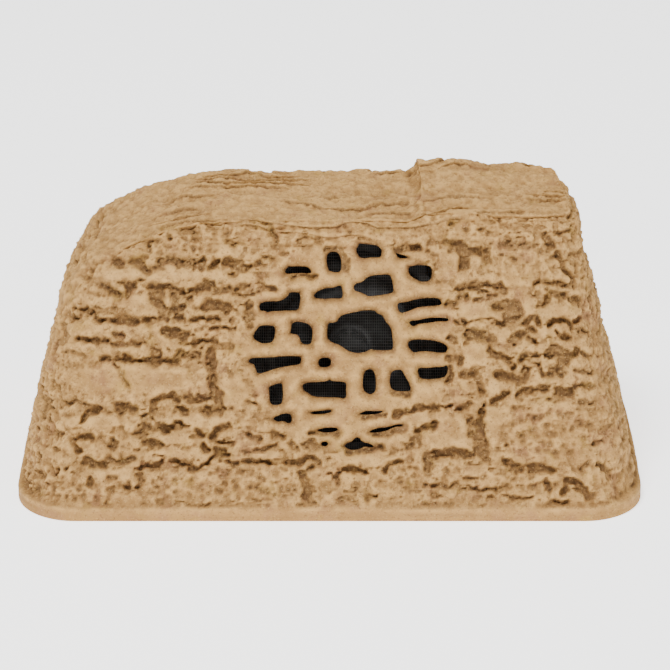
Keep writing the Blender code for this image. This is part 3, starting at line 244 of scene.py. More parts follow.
# Hollows that the mould gave the front face: depth, half-width, and a line of (u, v) points.
HOLLOWS = [
    # the row under the upper ledge, left to right
    (4, 2.2, [(-149, 57), (-146, 54), (-142, 51)]),
    (4, 2.0, [(-135, 54), (-131, 53), (-128, 48), (-125, 46)]), (3, 1.6, [(-125, 49), (-118, 50)]),
    (4.5, 2.4, [(-117, 53), (-110, 53), (-105, 51)]), (4, 2.0, [(-103, 51), (-100, 50)]),
    (4, 2.2, [(-96, 49), (-92, 53), (-91, 50)]), (4.5, 2.6, [(-86, 50), (-84, 53)]),
    (4, 2.4, [(-78, 54), (-74, 52), (-69, 51), (-68, 47)]), (3, 1.6, [(-72, 45), (-64, 48), (-57, 51)]),
    # under the pale rib
    (4, 2.0, [(-153, 38), (-148, 37), (-145, 33), (-143, 31)]),
    (4.5, 2.2, [(-133, 38), (-137, 35), (-139, 31)]),
    (4.5, 2.2, [(-122, 36), (-117, 37), (-111, 38), (-107, 35), (-103, 33)]),
    (4, 2.0, [(-112, 36), (-110, 30), (-109, 27)]), (4.5, 2.8, [(-119, 34), (-119, 27), (-117, 23)]),
    (4.5, 3.2, [(-117, 22), (-111, 22), (-104, 24)]), (4, 2.2, [(-99, 31), (-97, 35), (-91, 36)]),
    (4.5, 3.0, [(-87, 38), (-84, 35), (-77, 35), (-72, 35)]),
    (3.5, 1.8, [(-66, 33), (-60, 33), (-54, 36), (-48, 35)]),
    (5, 3.4, [(-91, 24), (-87, 26), (-80, 25), (-77, 24)]),
    # the next row down
    (4.5, 1.8, [(-168, 21), (-164, 22), (-160, 21)]), (4, 1.6, [(-179, 18), (-172, 19)]),
    (4.5, 2.2, [(-156, 17), (-150, 16), (-143, 16), (-137, 16), (-131, 15)]),
    (4, 2.6, [(-126, 17), (-122, 17)]), (3.5, 2.2, [(-117, 18), (-113, 17)]),
    (3.5, 2.2, [(-108, 17), (-104, 18)]), (4, 2.0, [(-95, 17), (-92, 18)]),
    (3.5, 1.8, [(-88, 18), (-82, 18)]), (3, 2.4, [(-65, 17), (-62, 13)]),
    (4.5, 1.6, [(-168, 5), (-160, 4), (-150, 3)]), (3, 1.3, [(-150, 2), (-140, 1), (-130, 1)]),
    (5, 2.8, [(-116, 8), (-110, 8), (-102, 8)]), (3, 1.6, [(-146, 8), (-142, 7)]),
    (4, 2.0, [(-96, 3), (-90, 4), (-84, 3)]), (3, 1.6, [(-86, 11), (-80, 12), (-72, 12)]),
    # round the long smooth block at the left
    (5, 2.8, [(-108, -6), (-105, -3), (-99, -4), (-93, -5)]),
    (4.5, 2.0, [(-153, -8), (-146, -7), (-138, -8), (-130, -9), (-122, -9), (-120, -4)]),
    (4, 1.8, [(-122, -9), (-115, -9), (-109, -9)]),
    (5, 2.8, [(-86, -4), (-86, -12), (-85, -20), (-85, -28), (-82, -34), (-79, -39)]),
    (2, 0.8, [(-148, -10), (-144, -15), (-140, -20), (-137, -25)]),
    (4.5, 2.2, [(-122, -40), (-122, -34), (-118, -31), (-110, -31), (-106, -34)]),
    (4.5, 3.0, [(-99, -33), (-92, -32), (-86, -31), (-82, -31)]),
    (4.5, 3.0, [(-144, -39), (-139, -37), (-133, -38)]), (4, 2.2, [(-105, -39), (-103, -42)]),
    (4.5, 2.8, [(-88, -40), (-84, -38)]), (4, 2.0, [(-166, -47), (-162, -43), (-157, -39)]),
    (3, 1.2, [(-178, -35), (-170, -33), (-163, -36), (-159, -39)]),
    # lower left
    (5, 3.4, [(-131, -50), (-127, -46), (-120, -50), (-113, -51), (-107, -49)]),
    (4.5, 2.8, [(-132, -52), (-129, -56)]),
    (4.5, 2.6, [(-86, -57), (-83, -52), (-79, -50), (-75, -49)]), (4, 1.6, [(-95, -51), (-93, -55)]),
    (5, 2.2, [(-167, -57), (-161, -56)]), (4.5, 1.8, [(-171, -58), (-169, -65)]),
    (4, 1.8, [(-186, -52), (-180, -54)]), (4, 1.6, [(-144, -58), (-147, -63)]),
    (4.5, 2.4, [(-127, -60), (-121, -61), (-117, -61)]), (4, 1.8, [(-83, -60), (-73, -60)]),
    (4.5, 1.6, [(-92, -61), (-90, -64)]), (5, 3.2, [(-84, -65), (-78, -67)]),
    (4.5, 2.4, [(-165, -71), (-159, -73), (-153, -73)]),
    (3.5, 2.2, [(-150, -71), (-140, -71), (-134, -69)]),
    (5, 1.8, [(-128, -75), (-122, -74), (-118, -73)]), (4, 1.8, [(-111, -71), (-105, -71), (-99, -72)]),
    (4, 1.8, [(-97, -76), (-92, -73), (-87, -70), (-84, -68)]), (3.5, 1.6, [(-80, -71), (-70, -72)]),
    (4, 1.4, [(-129, -79), (-129, -84), (-132, -88)]), (4, 1.8, [(-188, -76), (-184, -78)]),
    (3.5, 1.4, [(-178, -77), (-175, -75)]), (4, 1.6, [(-161, -82), (-161, -86)]),
    (3, 1.6, [(-149, -82), (-145, -82)]), (3, 1.4, [(-140, -88), (-137, -88)]),
    (2, 0.9, [(-108, -97), (-98, -98), (-85, -98), (-70, -98)]),
    (2, 0.9, [(-149, -93), (-152, -97), (-156, -100)]),
    # along the bottom, under the grille
    (4, 1.8, [(-65, -71), (-59, -72), (-53, -72)]), (3.5, 1.6, [(-64, -65), (-55, -64), (-46, -62)]),
    (4.5, 2.2, [(-38, -71), (-32, -71), (-25, -69), (-20, -71)]), (3, 3.0, [(-36, -61), (-33, -63)]),
    (3.5, 2.4, [(-27, -61), (-21, -61)]),
    (4.5, 2.0, [(-31, -77), (-30, -81), (-28, -86), (-26, -92), (-24, -97)]),
    (3.5, 1.8, [(-27, -77), (-24, -75)]), (4.5, 1.8, [(-5, -77), (2, -76), (9, -77)]),
    (3.5, 1.8, [(-7, -80), (-6, -84)]), (3, 1.4, [(-6, -94), (-1, -94), (4, -95)]),
    (3, 1.3, [(12, -94), (18, -92)]), (3.5, 1.6, [(22, -78), (25, -74), (31, -71), (38, -70)]),
    (3.5, 2.0, [(-62, -55), (-58, -56)]), (3.5, 2.2, [(-47, -55), (-42, -57)]),
    # upper right
    (5, 3.0, [(70, 59), (77, 59), (85, 59)]), (4.5, 2.2, [(72, 56), (72, 49)]),
    (4, 1.8, [(86, 57), (86, 54)]), (4, 2.6, [(65, 61), (70, 63)]), (3, 3.2, [(97, 65), (103, 63)]),
    (4, 2.0, [(122, 69), (124, 65), (127, 63)]), (3, 1.3, [(130, 70), (137, 72), (143, 75)]),
    (4, 1.8, [(131, 58), (132, 53), (131, 49), (136, 46), (139, 43), (140, 38)]),
    (4.5, 2.2, [(67, 36), (72, 38), (80, 38), (87, 38), (92, 38), (95, 34)]),
    (4, 2.0, [(82, 34), (86, 34)]), (4, 2.0, [(67, 31), (71, 32), (74, 29)]),
    (3.5, 1.6, [(80, 28), (83, 30), (88, 31), (91, 31)]),
    (3.5, 1.4, [(117, 40), (124, 40), (130, 39), (137, 38)]), (4.5, 2.0, [(121, 30), (122, 27)]),
    (4, 2.0, [(124, 33), (131, 32), (138, 31), (144, 27), (149, 23)]), (4.5, 2.2, [(61, 27), (65, 27)]),
    (4.5, 2.8, [(92, 24), (97, 26), (103, 25), (104, 21)]), (4, 2.6, [(98, 20), (102, 19)]),
    (4, 2.2, [(91, 14), (96, 15)]), (4.5, 2.6, [(65, 16), (71, 15)]),
    (4.5, 2.4, [(110, 14), (113, 17), (117, 18), (119, 14)]),
    (4, 1.8, [(125, 13), (129, 17), (134, 17), (139, 13)]), (4, 1.8, [(142, 16), (144, 17)]),
    (3.5, 1.4, [(143, 11), (151, 11), (156, 7)]), (4, 3.4, [(74, 8), (82, 8), (88, 5)]),
    (4.5, 2.4, [(103, 4), (105, 8), (110, 9), (115, 9)]), (4, 2.0, [(112, 5), (116, 3)]),
    (3.5, 1.6, [(129, 9), (137, 6)]), (4, 2.2, [(62, 5), (65, 4)]),
    # lower right
    (4.5, 3.4, [(121, -4), (128, -2), (133, -5), (134, -8)]), (4.5, 2.2, [(138, -6), (142, -3)]),
    (3.5, 1.6, [(147, -4), (153, -6), (157, -8)]),
    (4.5, 2.0, [(87, -2), (92, -6), (98, -8), (102, -12)]), (4, 1.8, [(106, -9), (109, -5), (115, -6)]),
    (4.5, 2.2, [(93, -18), (98, -19), (104, -21), (109, -19), (110, -14)]),
    (4.5, 1.8, [(116, -13), (119, -18), (124, -18)]), (4, 2.0, [(125, -16), (129, -14), (133, -17)]),
    (3.5, 1.3, [(141, -15), (147, -16), (155, -16)]),
    (4, 2.0, [(71, -17), (77, -17), (81, -22), (82, -26)]),
    (4.5, 2.2, [(62, -13), (63, -19), (60, -21)]), (4, 2.2, [(61, -7), (66, -6), (69, -9)]),
    (4.5, 2.0, [(106, -29), (109, -27), (113, -27)]), (4, 1.6, [(117, -25), (121, -26)]),
    (4.5, 2.8, [(131, -28), (137, -28)]), (3, 1.4, [(141, -25), (150, -24), (157, -25)]),
    (3, 1.3, [(144, -34), (153, -35), (158, -35)]), (4.5, 2.2, [(90, -35), (95, -33), (98, -29)]),
    (4.5, 2.0, [(68, -39), (72, -37), (76, -35)]),
    (5.5, 3.2, [(83, -40), (81, -46), (80, -55), (82, -61), (83, -68)]),
    (5, 3.2, [(76, -45), (76, -54)]), (3, 1.3, [(56, -37), (63, -37)]),
    (5, 2.6, [(48, -69), (54, -67), (62, -66), (70, -67), (77, -68)]), (4, 2.6, [(48, -70), (47, -76)]),
    (3, 1.3, [(145, -47), (151, -48)]), (3, 1.3, [(152, -60), (158, -58)]),
    (4.5, 2.4, [(97, -72), (102, -75), (107, -76)]), (4, 2.2, [(112, -76), (118, -76), (126, -77)]),
    (4.5, 2.0, [(157, -73), (160, -76), (163, -77)]), (3.5, 1.8, [(146, -76), (149, -72)]),
    (3.5, 2.0, [(123, -84), (125, -88)]), (4.5, 2.4, [(136, -84), (141, -84), (146, -88), (150, -93)]),
    (4, 1.6, [(136, -86), (134, -90)]),
    (3, 1.3, [(48, -87), (55, -86), (62, -87), (70, -86), (80, -88), (90, -88)]),
    (3, 1.2, [(94, -92), (104, -94), (113, -94)]), (3.5, 1.4, [(128, -97), (135, -97)]),
    # shallow pockets beside the holes
    (4.5, 2.6, [(29, 60), (36, 61), (42, 62)]), (4, 1.6, [(-36, 44), (-28, 44), (-21, 43)]),
    (3.5, 2.2, [(-62, 26), (-61, 19)]), (3.5, 1.8, [(-2, 57), (-2, 48)]),
    (3.5, 1.8, [(-15, 60), (-9, 61), (-4, 60)]),
    (4.5, 2.2, [(29, -41), (38, -40), (47, -38), (54, -39)]),
    (4, 1.6, [(7, -44), (14, -43.5), (21, -42)]), (4, 2.0, [(15, -55), (24, -53), (34, -51)]),
    (4, 1.8, [(-1, -66), (8, -65.5), (19, -63)]), (3.5, 1.6, [(-23, -54), (-15, -55), (-7, -54)]),
    (4, 2.2, [(42, -52), (46, -50), (52, -49)]), (3.5, 2.0, [(42, -56), (40, -58)]),
    (3, 2.0, [(37, -62), (41, -61)]), (3.5, 1.8, [(27, -30), (36, -30)]),
    # the smoother rock above the grille
    (3, 1.8, [(-148, 92), (-146, 88)]), (3.5, 1.5, [(-125, 66), (-125, 63)]),
    (2.5, 1.4, [(-112, 70), (-111, 67)]), (1.8, 3.4, [(-96, 73), (-95, 68)]),
    (2.2, 2.4, [(-76, 70), (-73, 64)]), (3, 1.6, [(-49, 76), (-47, 70), (-46, 66)]),
    (2.6, 2.2, [(-45, 62), (-43, 58)]), (1.8, 1.0, [(-32, 66), (-25, 68), (-18, 66)]),
    (1.6, 0.8, [(-125, 77), (-108, 79), (-95, 80)]),
]

# Smooth stones that stand out between the pockets: u, v, half-width, half-height, how far out.
STONES = [
    (-132, -20, 42, 9, 1.3), (-138, 45, 16, 4, 1.0), (-112, 44, 16, 4, 1.0), (-88, 44, 12, 4, 0.9),
    (-68, 42, 10, 3, 0.6), (-130, 27, 7, 6, 0.8), (-165, 12, 16, 4, 0.8), (-104, 0, 14, 2, 0.5),
    (-160, -46, 20, 4, 1.2), (-95, -45, 14, 4, 1.0), (-72, -28, 9, 10, 0.8), (-110, -58, 9, 3, 0.8),
    (-104, -66, 16, 3, 0.9), (-145, -80, 13, 4, 0.5), (-140, -95, 10, 4, 0.6), (60, -53, 17, 11, 1.2),
    (90, -50, 5, 12, 0.8), (77, 22, 10, 6, 0.9), (112, 24, 5, 7, 0.8), (133, 22, 12, 4, 0.8),
    (120, 10, 12, 4, 0.9), (97, 7, 5, 6, 0.6), (150, 3, 10, 4, 0.6), (78, -5, 8, 7, 0.9),
    (118, -21, 9, 3, 0.8), (92, -26, 6, 5, 0.6), (133, 43, 6, 3, 0.6), (62, 52, 8, 9, 0.6),
    (96, 40, 20, 3, 0.5), (20, -71, 26, 3, 1.0),
]

# Patches of small close pits: u, v, half-width, half-height.
PITTED = [
    (120, -54, 25, 18), (115, 55, 16, 11), (85, 74, 20, 6), (128, 36, 12, 4), (60, 80, 10, 6),
    (0, 75, 9, 8), (-50, 78, 14, 6), (-100, -38, 18, 5), (-60, -84, 38, 10), (-105, -86, 24, 9),
    (45, -80, 30, 9), (-170, -92, 22, 8), (-95, 10, 20, 4), (118, -86, 22, 6), (-105, 62, 26, 7),
    (-150, -62, 18, 8),
]

# ---------------------------------------------------------------- the rock's form, as in the CAD


def ramp(value, start, end):
    share = np.clip((value - start) / (end - start), 0, 1)
    return share * share * (3 - 2 * share)


def depth_share(y):
    return (y + DEPTH / 2) / DEPTH


def top_height(x, y):
    back = depth_share(y)
    height = FRONT_RIDGE + (BACK_RIDGE - FRONT_RIDGE) * back
    height = height - 24 * np.clip((-x - 75) / 98, 0, None) ** 2
    slab = SLAB * ramp(x, 62, 78) - 4 * ramp(x, 115, 150)
    return height + slab * (0.35 + 0.65 * back)


def round_height(x, y):
    left = np.clip(-x / (WIDTH / 2), 0, 1) ** 4
    return FRONT_ROUND + (BACK_ROUND - FRONT_ROUND) * depth_share(y) ** 2 + 12 * left


def leaned(x, y, height):
    """A place in the plain box, as a point of the rock."""
    above = np.maximum(height - SKIRT, 0)
    back = depth_share(y)
    right = (x + WIDTH / 2) / WIDTH
    taper = (1 - right) * TAPER_LEFT - right * TAPER_RIGHT
    taper = taper * np.clip((back - 0.25) / 0.75, 0, 1) ** 2
    slope_y = (1 - back) * math.tan(FACE_TILT) - back * LEAN_BACK
    slope_x = (1 - right) * LEAN_LEFT - right * LEAN_RIGHT
    return np.stack([x + taper + slope_x * above, y + slope_y * above, height], axis=-1)


def box_limits(inset, turn, deeper=0.0):
    """Left, right, front, back and corner radius, at an angle round the top edge."""
    fold = 1 - math.cos(turn)
    return (
        -WIDTH / 2 + inset + (LEFT_ROUND - inset) * fold,
        WIDTH / 2 - inset - (RIGHT_ROUND - inset) * fold,
        -DEPTH / 2 + inset + deeper + (FRONT_ROUND - inset) * fold,
        DEPTH / 2 - inset - deeper - (BACK_ROUND - inset) * fold,
        CORNER - inset - (FRONT_ROUND - inset) * fold,
    )


def rounded(x, y, limits):
    """Gives a rectangle's points the round corners."""
    left, right, front, back, radius = limits
    inner_x = np.clip(x, left + radius, right - radius)
    inner_y = np.clip(y, front + radius, back - radius)
    dx, dy = x - inner_x, y - inner_y
    far = np.maximum(np.hypot(dx, dy), 1e-9)
    share = np.maximum(np.abs(dx), np.abs(dy)) / far
    return inner_x + dx * share, inner_y + dy * share


def edge_loop(limits, across, deep):
    """Places round the box's edge, with so many steps across and so many deep."""
    left, right, front, back, _ = limits
    xs = np.linspace(left, right, across + 1)
    ys = np.linspace(front, back, deep + 1)
    places = [(x, front) for x in xs[:-1]]
    places += [(right, y) for y in ys[:-1]]
    places += [(x, back) for x in xs[::-1][:-1]]
    places += [(left, y) for y in ys[::-1][:-1]]
    places = np.array(places)
    return rounded(places[:, 0], places[:, 1], limits)


def plan_outline(inset, across=20, deep=14):
    """The skirt's outline in plan, moved inwards."""
    x, y = edge_loop(box_limits(inset, 0), across, deep)
    return leaned(x, y, np.zeros(len(x)))[:, :2].tolist()


def mesh_from(name, points, faces):
    """A mesh in metres from points in millimetres."""
    mesh = bpy.data.meshes.new(name)
    mesh.from_pydata((np.asarray(points) * MM).tolist(), [], faces)
    mesh.update()
    return mesh


def grid_quads(index):
    """The faces of a grid, from the numbers of its points."""
    corners = (index[:-1, :-1], index[1:, :-1], index[1:, 1:], index[:-1, 1:])
    return np.stack(corners, axis=-1).reshape(-1, 4)


def rock_form(name, inset, low, counts, cap_turns):
    """The rock's plain form as a closed mesh: walls, rounded top edge and roof.

    A form moved inwards leans less than the outside does, so its front and back walls go
    deeper as they rise, which keeps the shell's wall even.
    """

    def deeper(share):
        return inset / (1 - LEAN_CHANGE * share * (FRONT_RIDGE - SKIRT)) - inset

    across, deep, rows = counts
    ring_size = 2 * (across + deep)
    rings = []
    for share, turn in [(s, 0) for s in np.linspace(0, 1, rows)] + [
        (1, t) for t in np.linspace(0, math.pi / 2, cap_turns + 1)[1:]
    ]:
        x, y = edge_loop(box_limits(inset, turn, deeper(share)), across, deep)
        drop = round_height(x, y) - inset
        roof = top_height(x, y) - inset
        height = low + share * (roof - drop - low) + drop * math.sin(turn)
        rings.append(leaned(x, y, height))
    limits = box_limits(inset, math.pi / 2, deeper(1))
    left, right, front, back, _ = limits
    grid_x, grid_y = np.meshgrid(
        np.linspace(left, right, across + 1), np.linspace(front, back, deep + 1), indexing="ij"
    )
    grid_x, grid_y = rounded(grid_x, grid_y, limits)
    cap = leaned(grid_x, grid_y, top_height(grid_x, grid_y) - inset)
    # The roof's outer row is the last ring, so the two share their points.
    index = np.full((across + 1, deep + 1), -1)
    start = (len(rings) - 1) * ring_size
    run = np.arange(ring_size)
    index[:-1, 0] = start + run[:across]
    index[-1, :-1] = start + run[across : across + deep]
    index[1:, -1] = (start + run[across + deep : 2 * across + deep])[::-1]
    index[0, 1:] = (start + run[2 * across + deep :])[::-1]
    inner = cap[1:-1, 1:-1]
    index[1:-1, 1:-1] = len(rings) * ring_size + np.arange(inner[..., 0].size).reshape(
        inner.shape[:2]
    )
    points = np.concatenate([*rings, inner.reshape(-1, 3)])
    faces = [tuple(range(ring_size))[::-1]]
    following = np.roll(run, -1)
    for row in range(len(rings) - 1):
        a, b = row * ring_size, (row + 1) * ring_size
        faces += np.stack([a + run, a + following, b + following, b + run], axis=1).tolist()
    faces += grid_quads(index).tolist()
    return mesh_from(name, points, faces)


# ---------------------------------------------------------------- fields that weather the rock


def hashed(x, y, z, seed):
    """An even random number from 0 to 1 for each cell of a lattice."""
    mixed = x * 73856093 ^ y * 19349663 ^ z * 83492791 ^ (seed + 1) * 40503
    mixed = (mixed ^ (mixed >> 13)) * 1274126177 & 0x7FFFFFFF
    mixed = (mixed ^ (mixed >> 15)) * 668265263 & 0x7FFFFFFF
    return ((mixed >> 8) & 0xFFFF) / 0xFFFF


def noise(points, size, seed):
    """Smooth lumps from -1 to 1; size is their length, or one length for each axis."""
    scaled = points / np.asarray(size)
    cell = np.floor(scaled).astype(np.int64)
    part = scaled - cell
    fade = part**3 * (part * (part * 6 - 15) + 10)
    total = 0
    for corner in itertools.product((0, 1), repeat=3):
        weight = np.prod(np.where(corner, fade, 1 - fade), axis=-1)
        total = total + weight * hashed(*(cell + np.array(corner)).T, seed)
    return 2 * total - 1


def rough(points, size, seed, octaves=4):
    """Lumps on lumps."""
    size = np.asarray(size, float)
    return sum(noise(points, size / 2**n, seed + n) / 2**n for n in range(octaves))


def pits(points, size, seed):
    """How near each point is to a scattered pit's middle: 1 in the middle, 0 between pits."""
    scaled = points / size
    base = np.floor(scaled).astype(np.int64)
    near = np.full(len(points), 9.0)
    for step in itertools.product((-1, 0, 1), repeat=3):
        cell = base + np.array(step)
        jitter = np.stack([hashed(*cell.T, seed + n) for n in range(3)], axis=-1)
        near = np.minimum(near, np.linalg.norm(cell + jitter - scaled, axis=-1))
    return 1 - np.clip(near / 0.62, 0, 1)


def beds(points, along):
    """Layers of rock, each broken into blocks: how far out each place stands."""
    thickness = 6 + 8 * np.random.default_rng(11).random(40)
    edges = np.concatenate([[-60], -60 + np.cumsum(thickness)])
    wander = 4.0 * noise(points, (80, 80, 60), 1) + 1.6 * noise(points, (20, 20, 16), 2)
    level = np.clip(points[:, 2] + wander, edges[0] + 1, edges[-1] - 1)
    bed = np.searchsorted(edges, level)
    share = (level - edges[bed - 1]) / (edges[bed] - edges[bed - 1])
    none = np.zeros_like(bed)
    block = 16 + 26 * hashed(bed, none, none, 5)
    place = (along + 60 * hashed(bed, none, none, 6) + 2.5 * noise(points, 9, 7)) / block
    column = np.floor(place).astype(np.int64)
    part = np.abs(place - column - 0.5) * 2
    crown = 1 - np.abs(2 * share - 1) ** 3
    side = 1 - ramp(part, 1 - 5 / block, 1.0)
    stand = hashed(bed, column, none, 8)
    return 1.7 * crown + 1.2 * side + 1.6 * stand - 3.2


def stroke_distance(u, v, line):
    """How far each place is from a line of points."""
    nearest = np.full(len(u), 1e9)
    for (au, av), (bu, bv) in zip(line, line[1:]):
        du, dv = bu - au, bv - av
        share = np.clip(((u - au) * du + (v - av) * dv) / (du * du + dv * dv), 0, 1)
        nearest = np.minimum(nearest, np.hypot(u - au - share * du, v - av - share * dv))
    return nearest


def blob(u, v, middle_u, middle_v, half_u, half_v):
    """1 inside a rounded patch, fading out over its edge."""
    far = (np.abs(u - middle_u) / half_u) ** 3 + (np.abs(v - middle_v) / half_v) ** 3
    return 1 - ramp(far ** (1 / 3), 0.75, 1.15)


def face_relief(points, u, v):
    """What the mould gave the front face: (height, brown wash in its hollows, how smooth) at each
    place.
    """
    drift = np.stack([noise(points, 8, 21), noise(points, 6, 22)])
    fray = np.stack([noise(points, 2.4, 23), noise(points, 2.4, 24)])
    edge_u, edge_v = np.stack([u, v]) + np.array([[2.0], [1.4]]) * drift + 0.9 * fray
    swell = 1 + 0.35 * noise(points, 7, 26)
    height, stain_and_shade = np.zeros(len(u)), np.zeros(len(u))
    cells = np.maximum(pits(points, 4.2, 27), 0.9 * pits(points, 2.6, 28))
    floor = np.clip(0.62 + 0.3 * noise(points, 6, 25) + 0.6 * cells, 0.3, 1.1)
    for depth, half, line in HOLLOWS:
        near = stroke_distance(edge_u, edge_v, line) / swell
        inside = 1 - ramp(near, half - 1.0, half + 1.2)
        lip = 1 - ramp(near, half, half + 3.5)
        height = np.minimum(height, -depth * inside * floor - 0.5 * lip)
        stain_and_shade = np.maximum(stain_and_shade, inside * min(1, depth / 4) * np.clip(floor, 0, 0.9))
    smoothness = np.zeros(len(u))
    for middle_u, middle_v, half_u, half_v, out in STONES:
        inside = blob(edge_u, edge_v, middle_u, middle_v, half_u, half_v)
        height = height + out * inside * (1 - stain_and_shade)
        smoothness = np.maximum(smoothness, inside)
    return height, stain_and_shade, smoothness


def hole_distance(u, v):
    """How far each place on the front face is from the nearest hole's outline."""
    nearest = np.full(len(u), 1e9)
    for outline in HOLES.values():
        nearest = np.minimum(nearest, stroke_distance(u, v, outline + outline[:1]))
    return nearest


def zones(points, normals, u, v):
    """Parts of the rock, each from 0 to 1: roof, front, level, smooth upper part, calm."""
    roof = ramp(normals[:, 2], 0.72, 0.92)
    front = ramp(normals @ OUT_OF_FACE, 0.8, 0.95) * (1 - roof)
    level = 1 - ramp(np.abs(normals[:, 0]), 0.2, 0.42)
    reach = 80 - 14 * (1 - ramp(np.abs(u), 40, 75)) + 6 * noise(points, 16, 69)
    upper = ramp(v, reach - 6, reach + 6) * ramp(-normals[:, 1], -0.2, 0.3) * level
    calm = 0.6 * ramp(u, 122, 158) + 0.25 * ramp(-u, 130, 160)
    calm = calm * ramp(-normals[:, 1], -0.3, 0.2)
    calm = np.maximum(calm, 0.7 * (1 - front) * ramp(noise(points, (55, 55, 26), 75), 0.0, 0.35))
    return roof, front, level, upper, calm


def top_ledges(points, top):
    """Thin ledges that run along the smooth top, one behind the other: (height, painted shade),
    darkening the crease at each ledge's foot and the lows of the swell.
    """
    back = points[:, 1] - 1.1 * (top_height(points[:, 0], points[:, 1]) - points[:, 2])
    flat = np.stack([points[:, 0], back, np.zeros(len(points))], axis=1)
    sheet = back / 9.5 + 1.5 * noise(flat, (75, 30, 1), 61) + 0.35 * noise(flat, (16, 9, 1), 62)
    step = sheet - np.floor(sheet)
    edge = ramp(step, 0.0, 0.12)
    present = ramp(noise(flat, (55, 14, 1), 63), -0.6, 0.0)
    swell = noise(flat, (42, 10, 1), 76) + 0.5 * noise(flat, (17, 6, 1), 77)
    height = top * present * 2.3 * (edge - step - 0.3) + top * (1.6 * swell - 0.5)
    # Painted shade: a dark line in the crease at each ledge's foot, and darker lows in the swell.
    crease_shade = 0.7 * top * present * (1 - ramp(np.abs(step - 0.03), 0.02, 0.1))
    return height, np.maximum(crease_shade, 0.3 * top * ramp(-swell, 0.2, 0.9))


def round_ribs(points, u, v, height, stain_and_shade, grille):
    """Rounds the grille's ribs off towards its holes, and makes their edges darker."""
    ribs = np.flatnonzero(grille > 0)
    gap = hole_distance(u[ribs], v[ribs])
    share = 1 - np.clip(gap / EDGE_WIDTH, 0, 1)
    drop = EDGE_DROP * (1 - np.sqrt(1 - share**2))
    height[ribs] = height[ribs] * ramp(gap, -1.5, 3.0) - drop
    height[ribs] += 0.7 * grille[ribs] * noise(points[ribs], (14, 14, 7), 67)
    # The rib edges are darker towards each hole.
    rub = 0.75 + 0.5 * noise(points[ribs], 9, 68)
    stain_and_shade[ribs] = np.maximum(stain_and_shade[ribs], 0.5 * ramp(share, 0.3, 0.9) * rub)


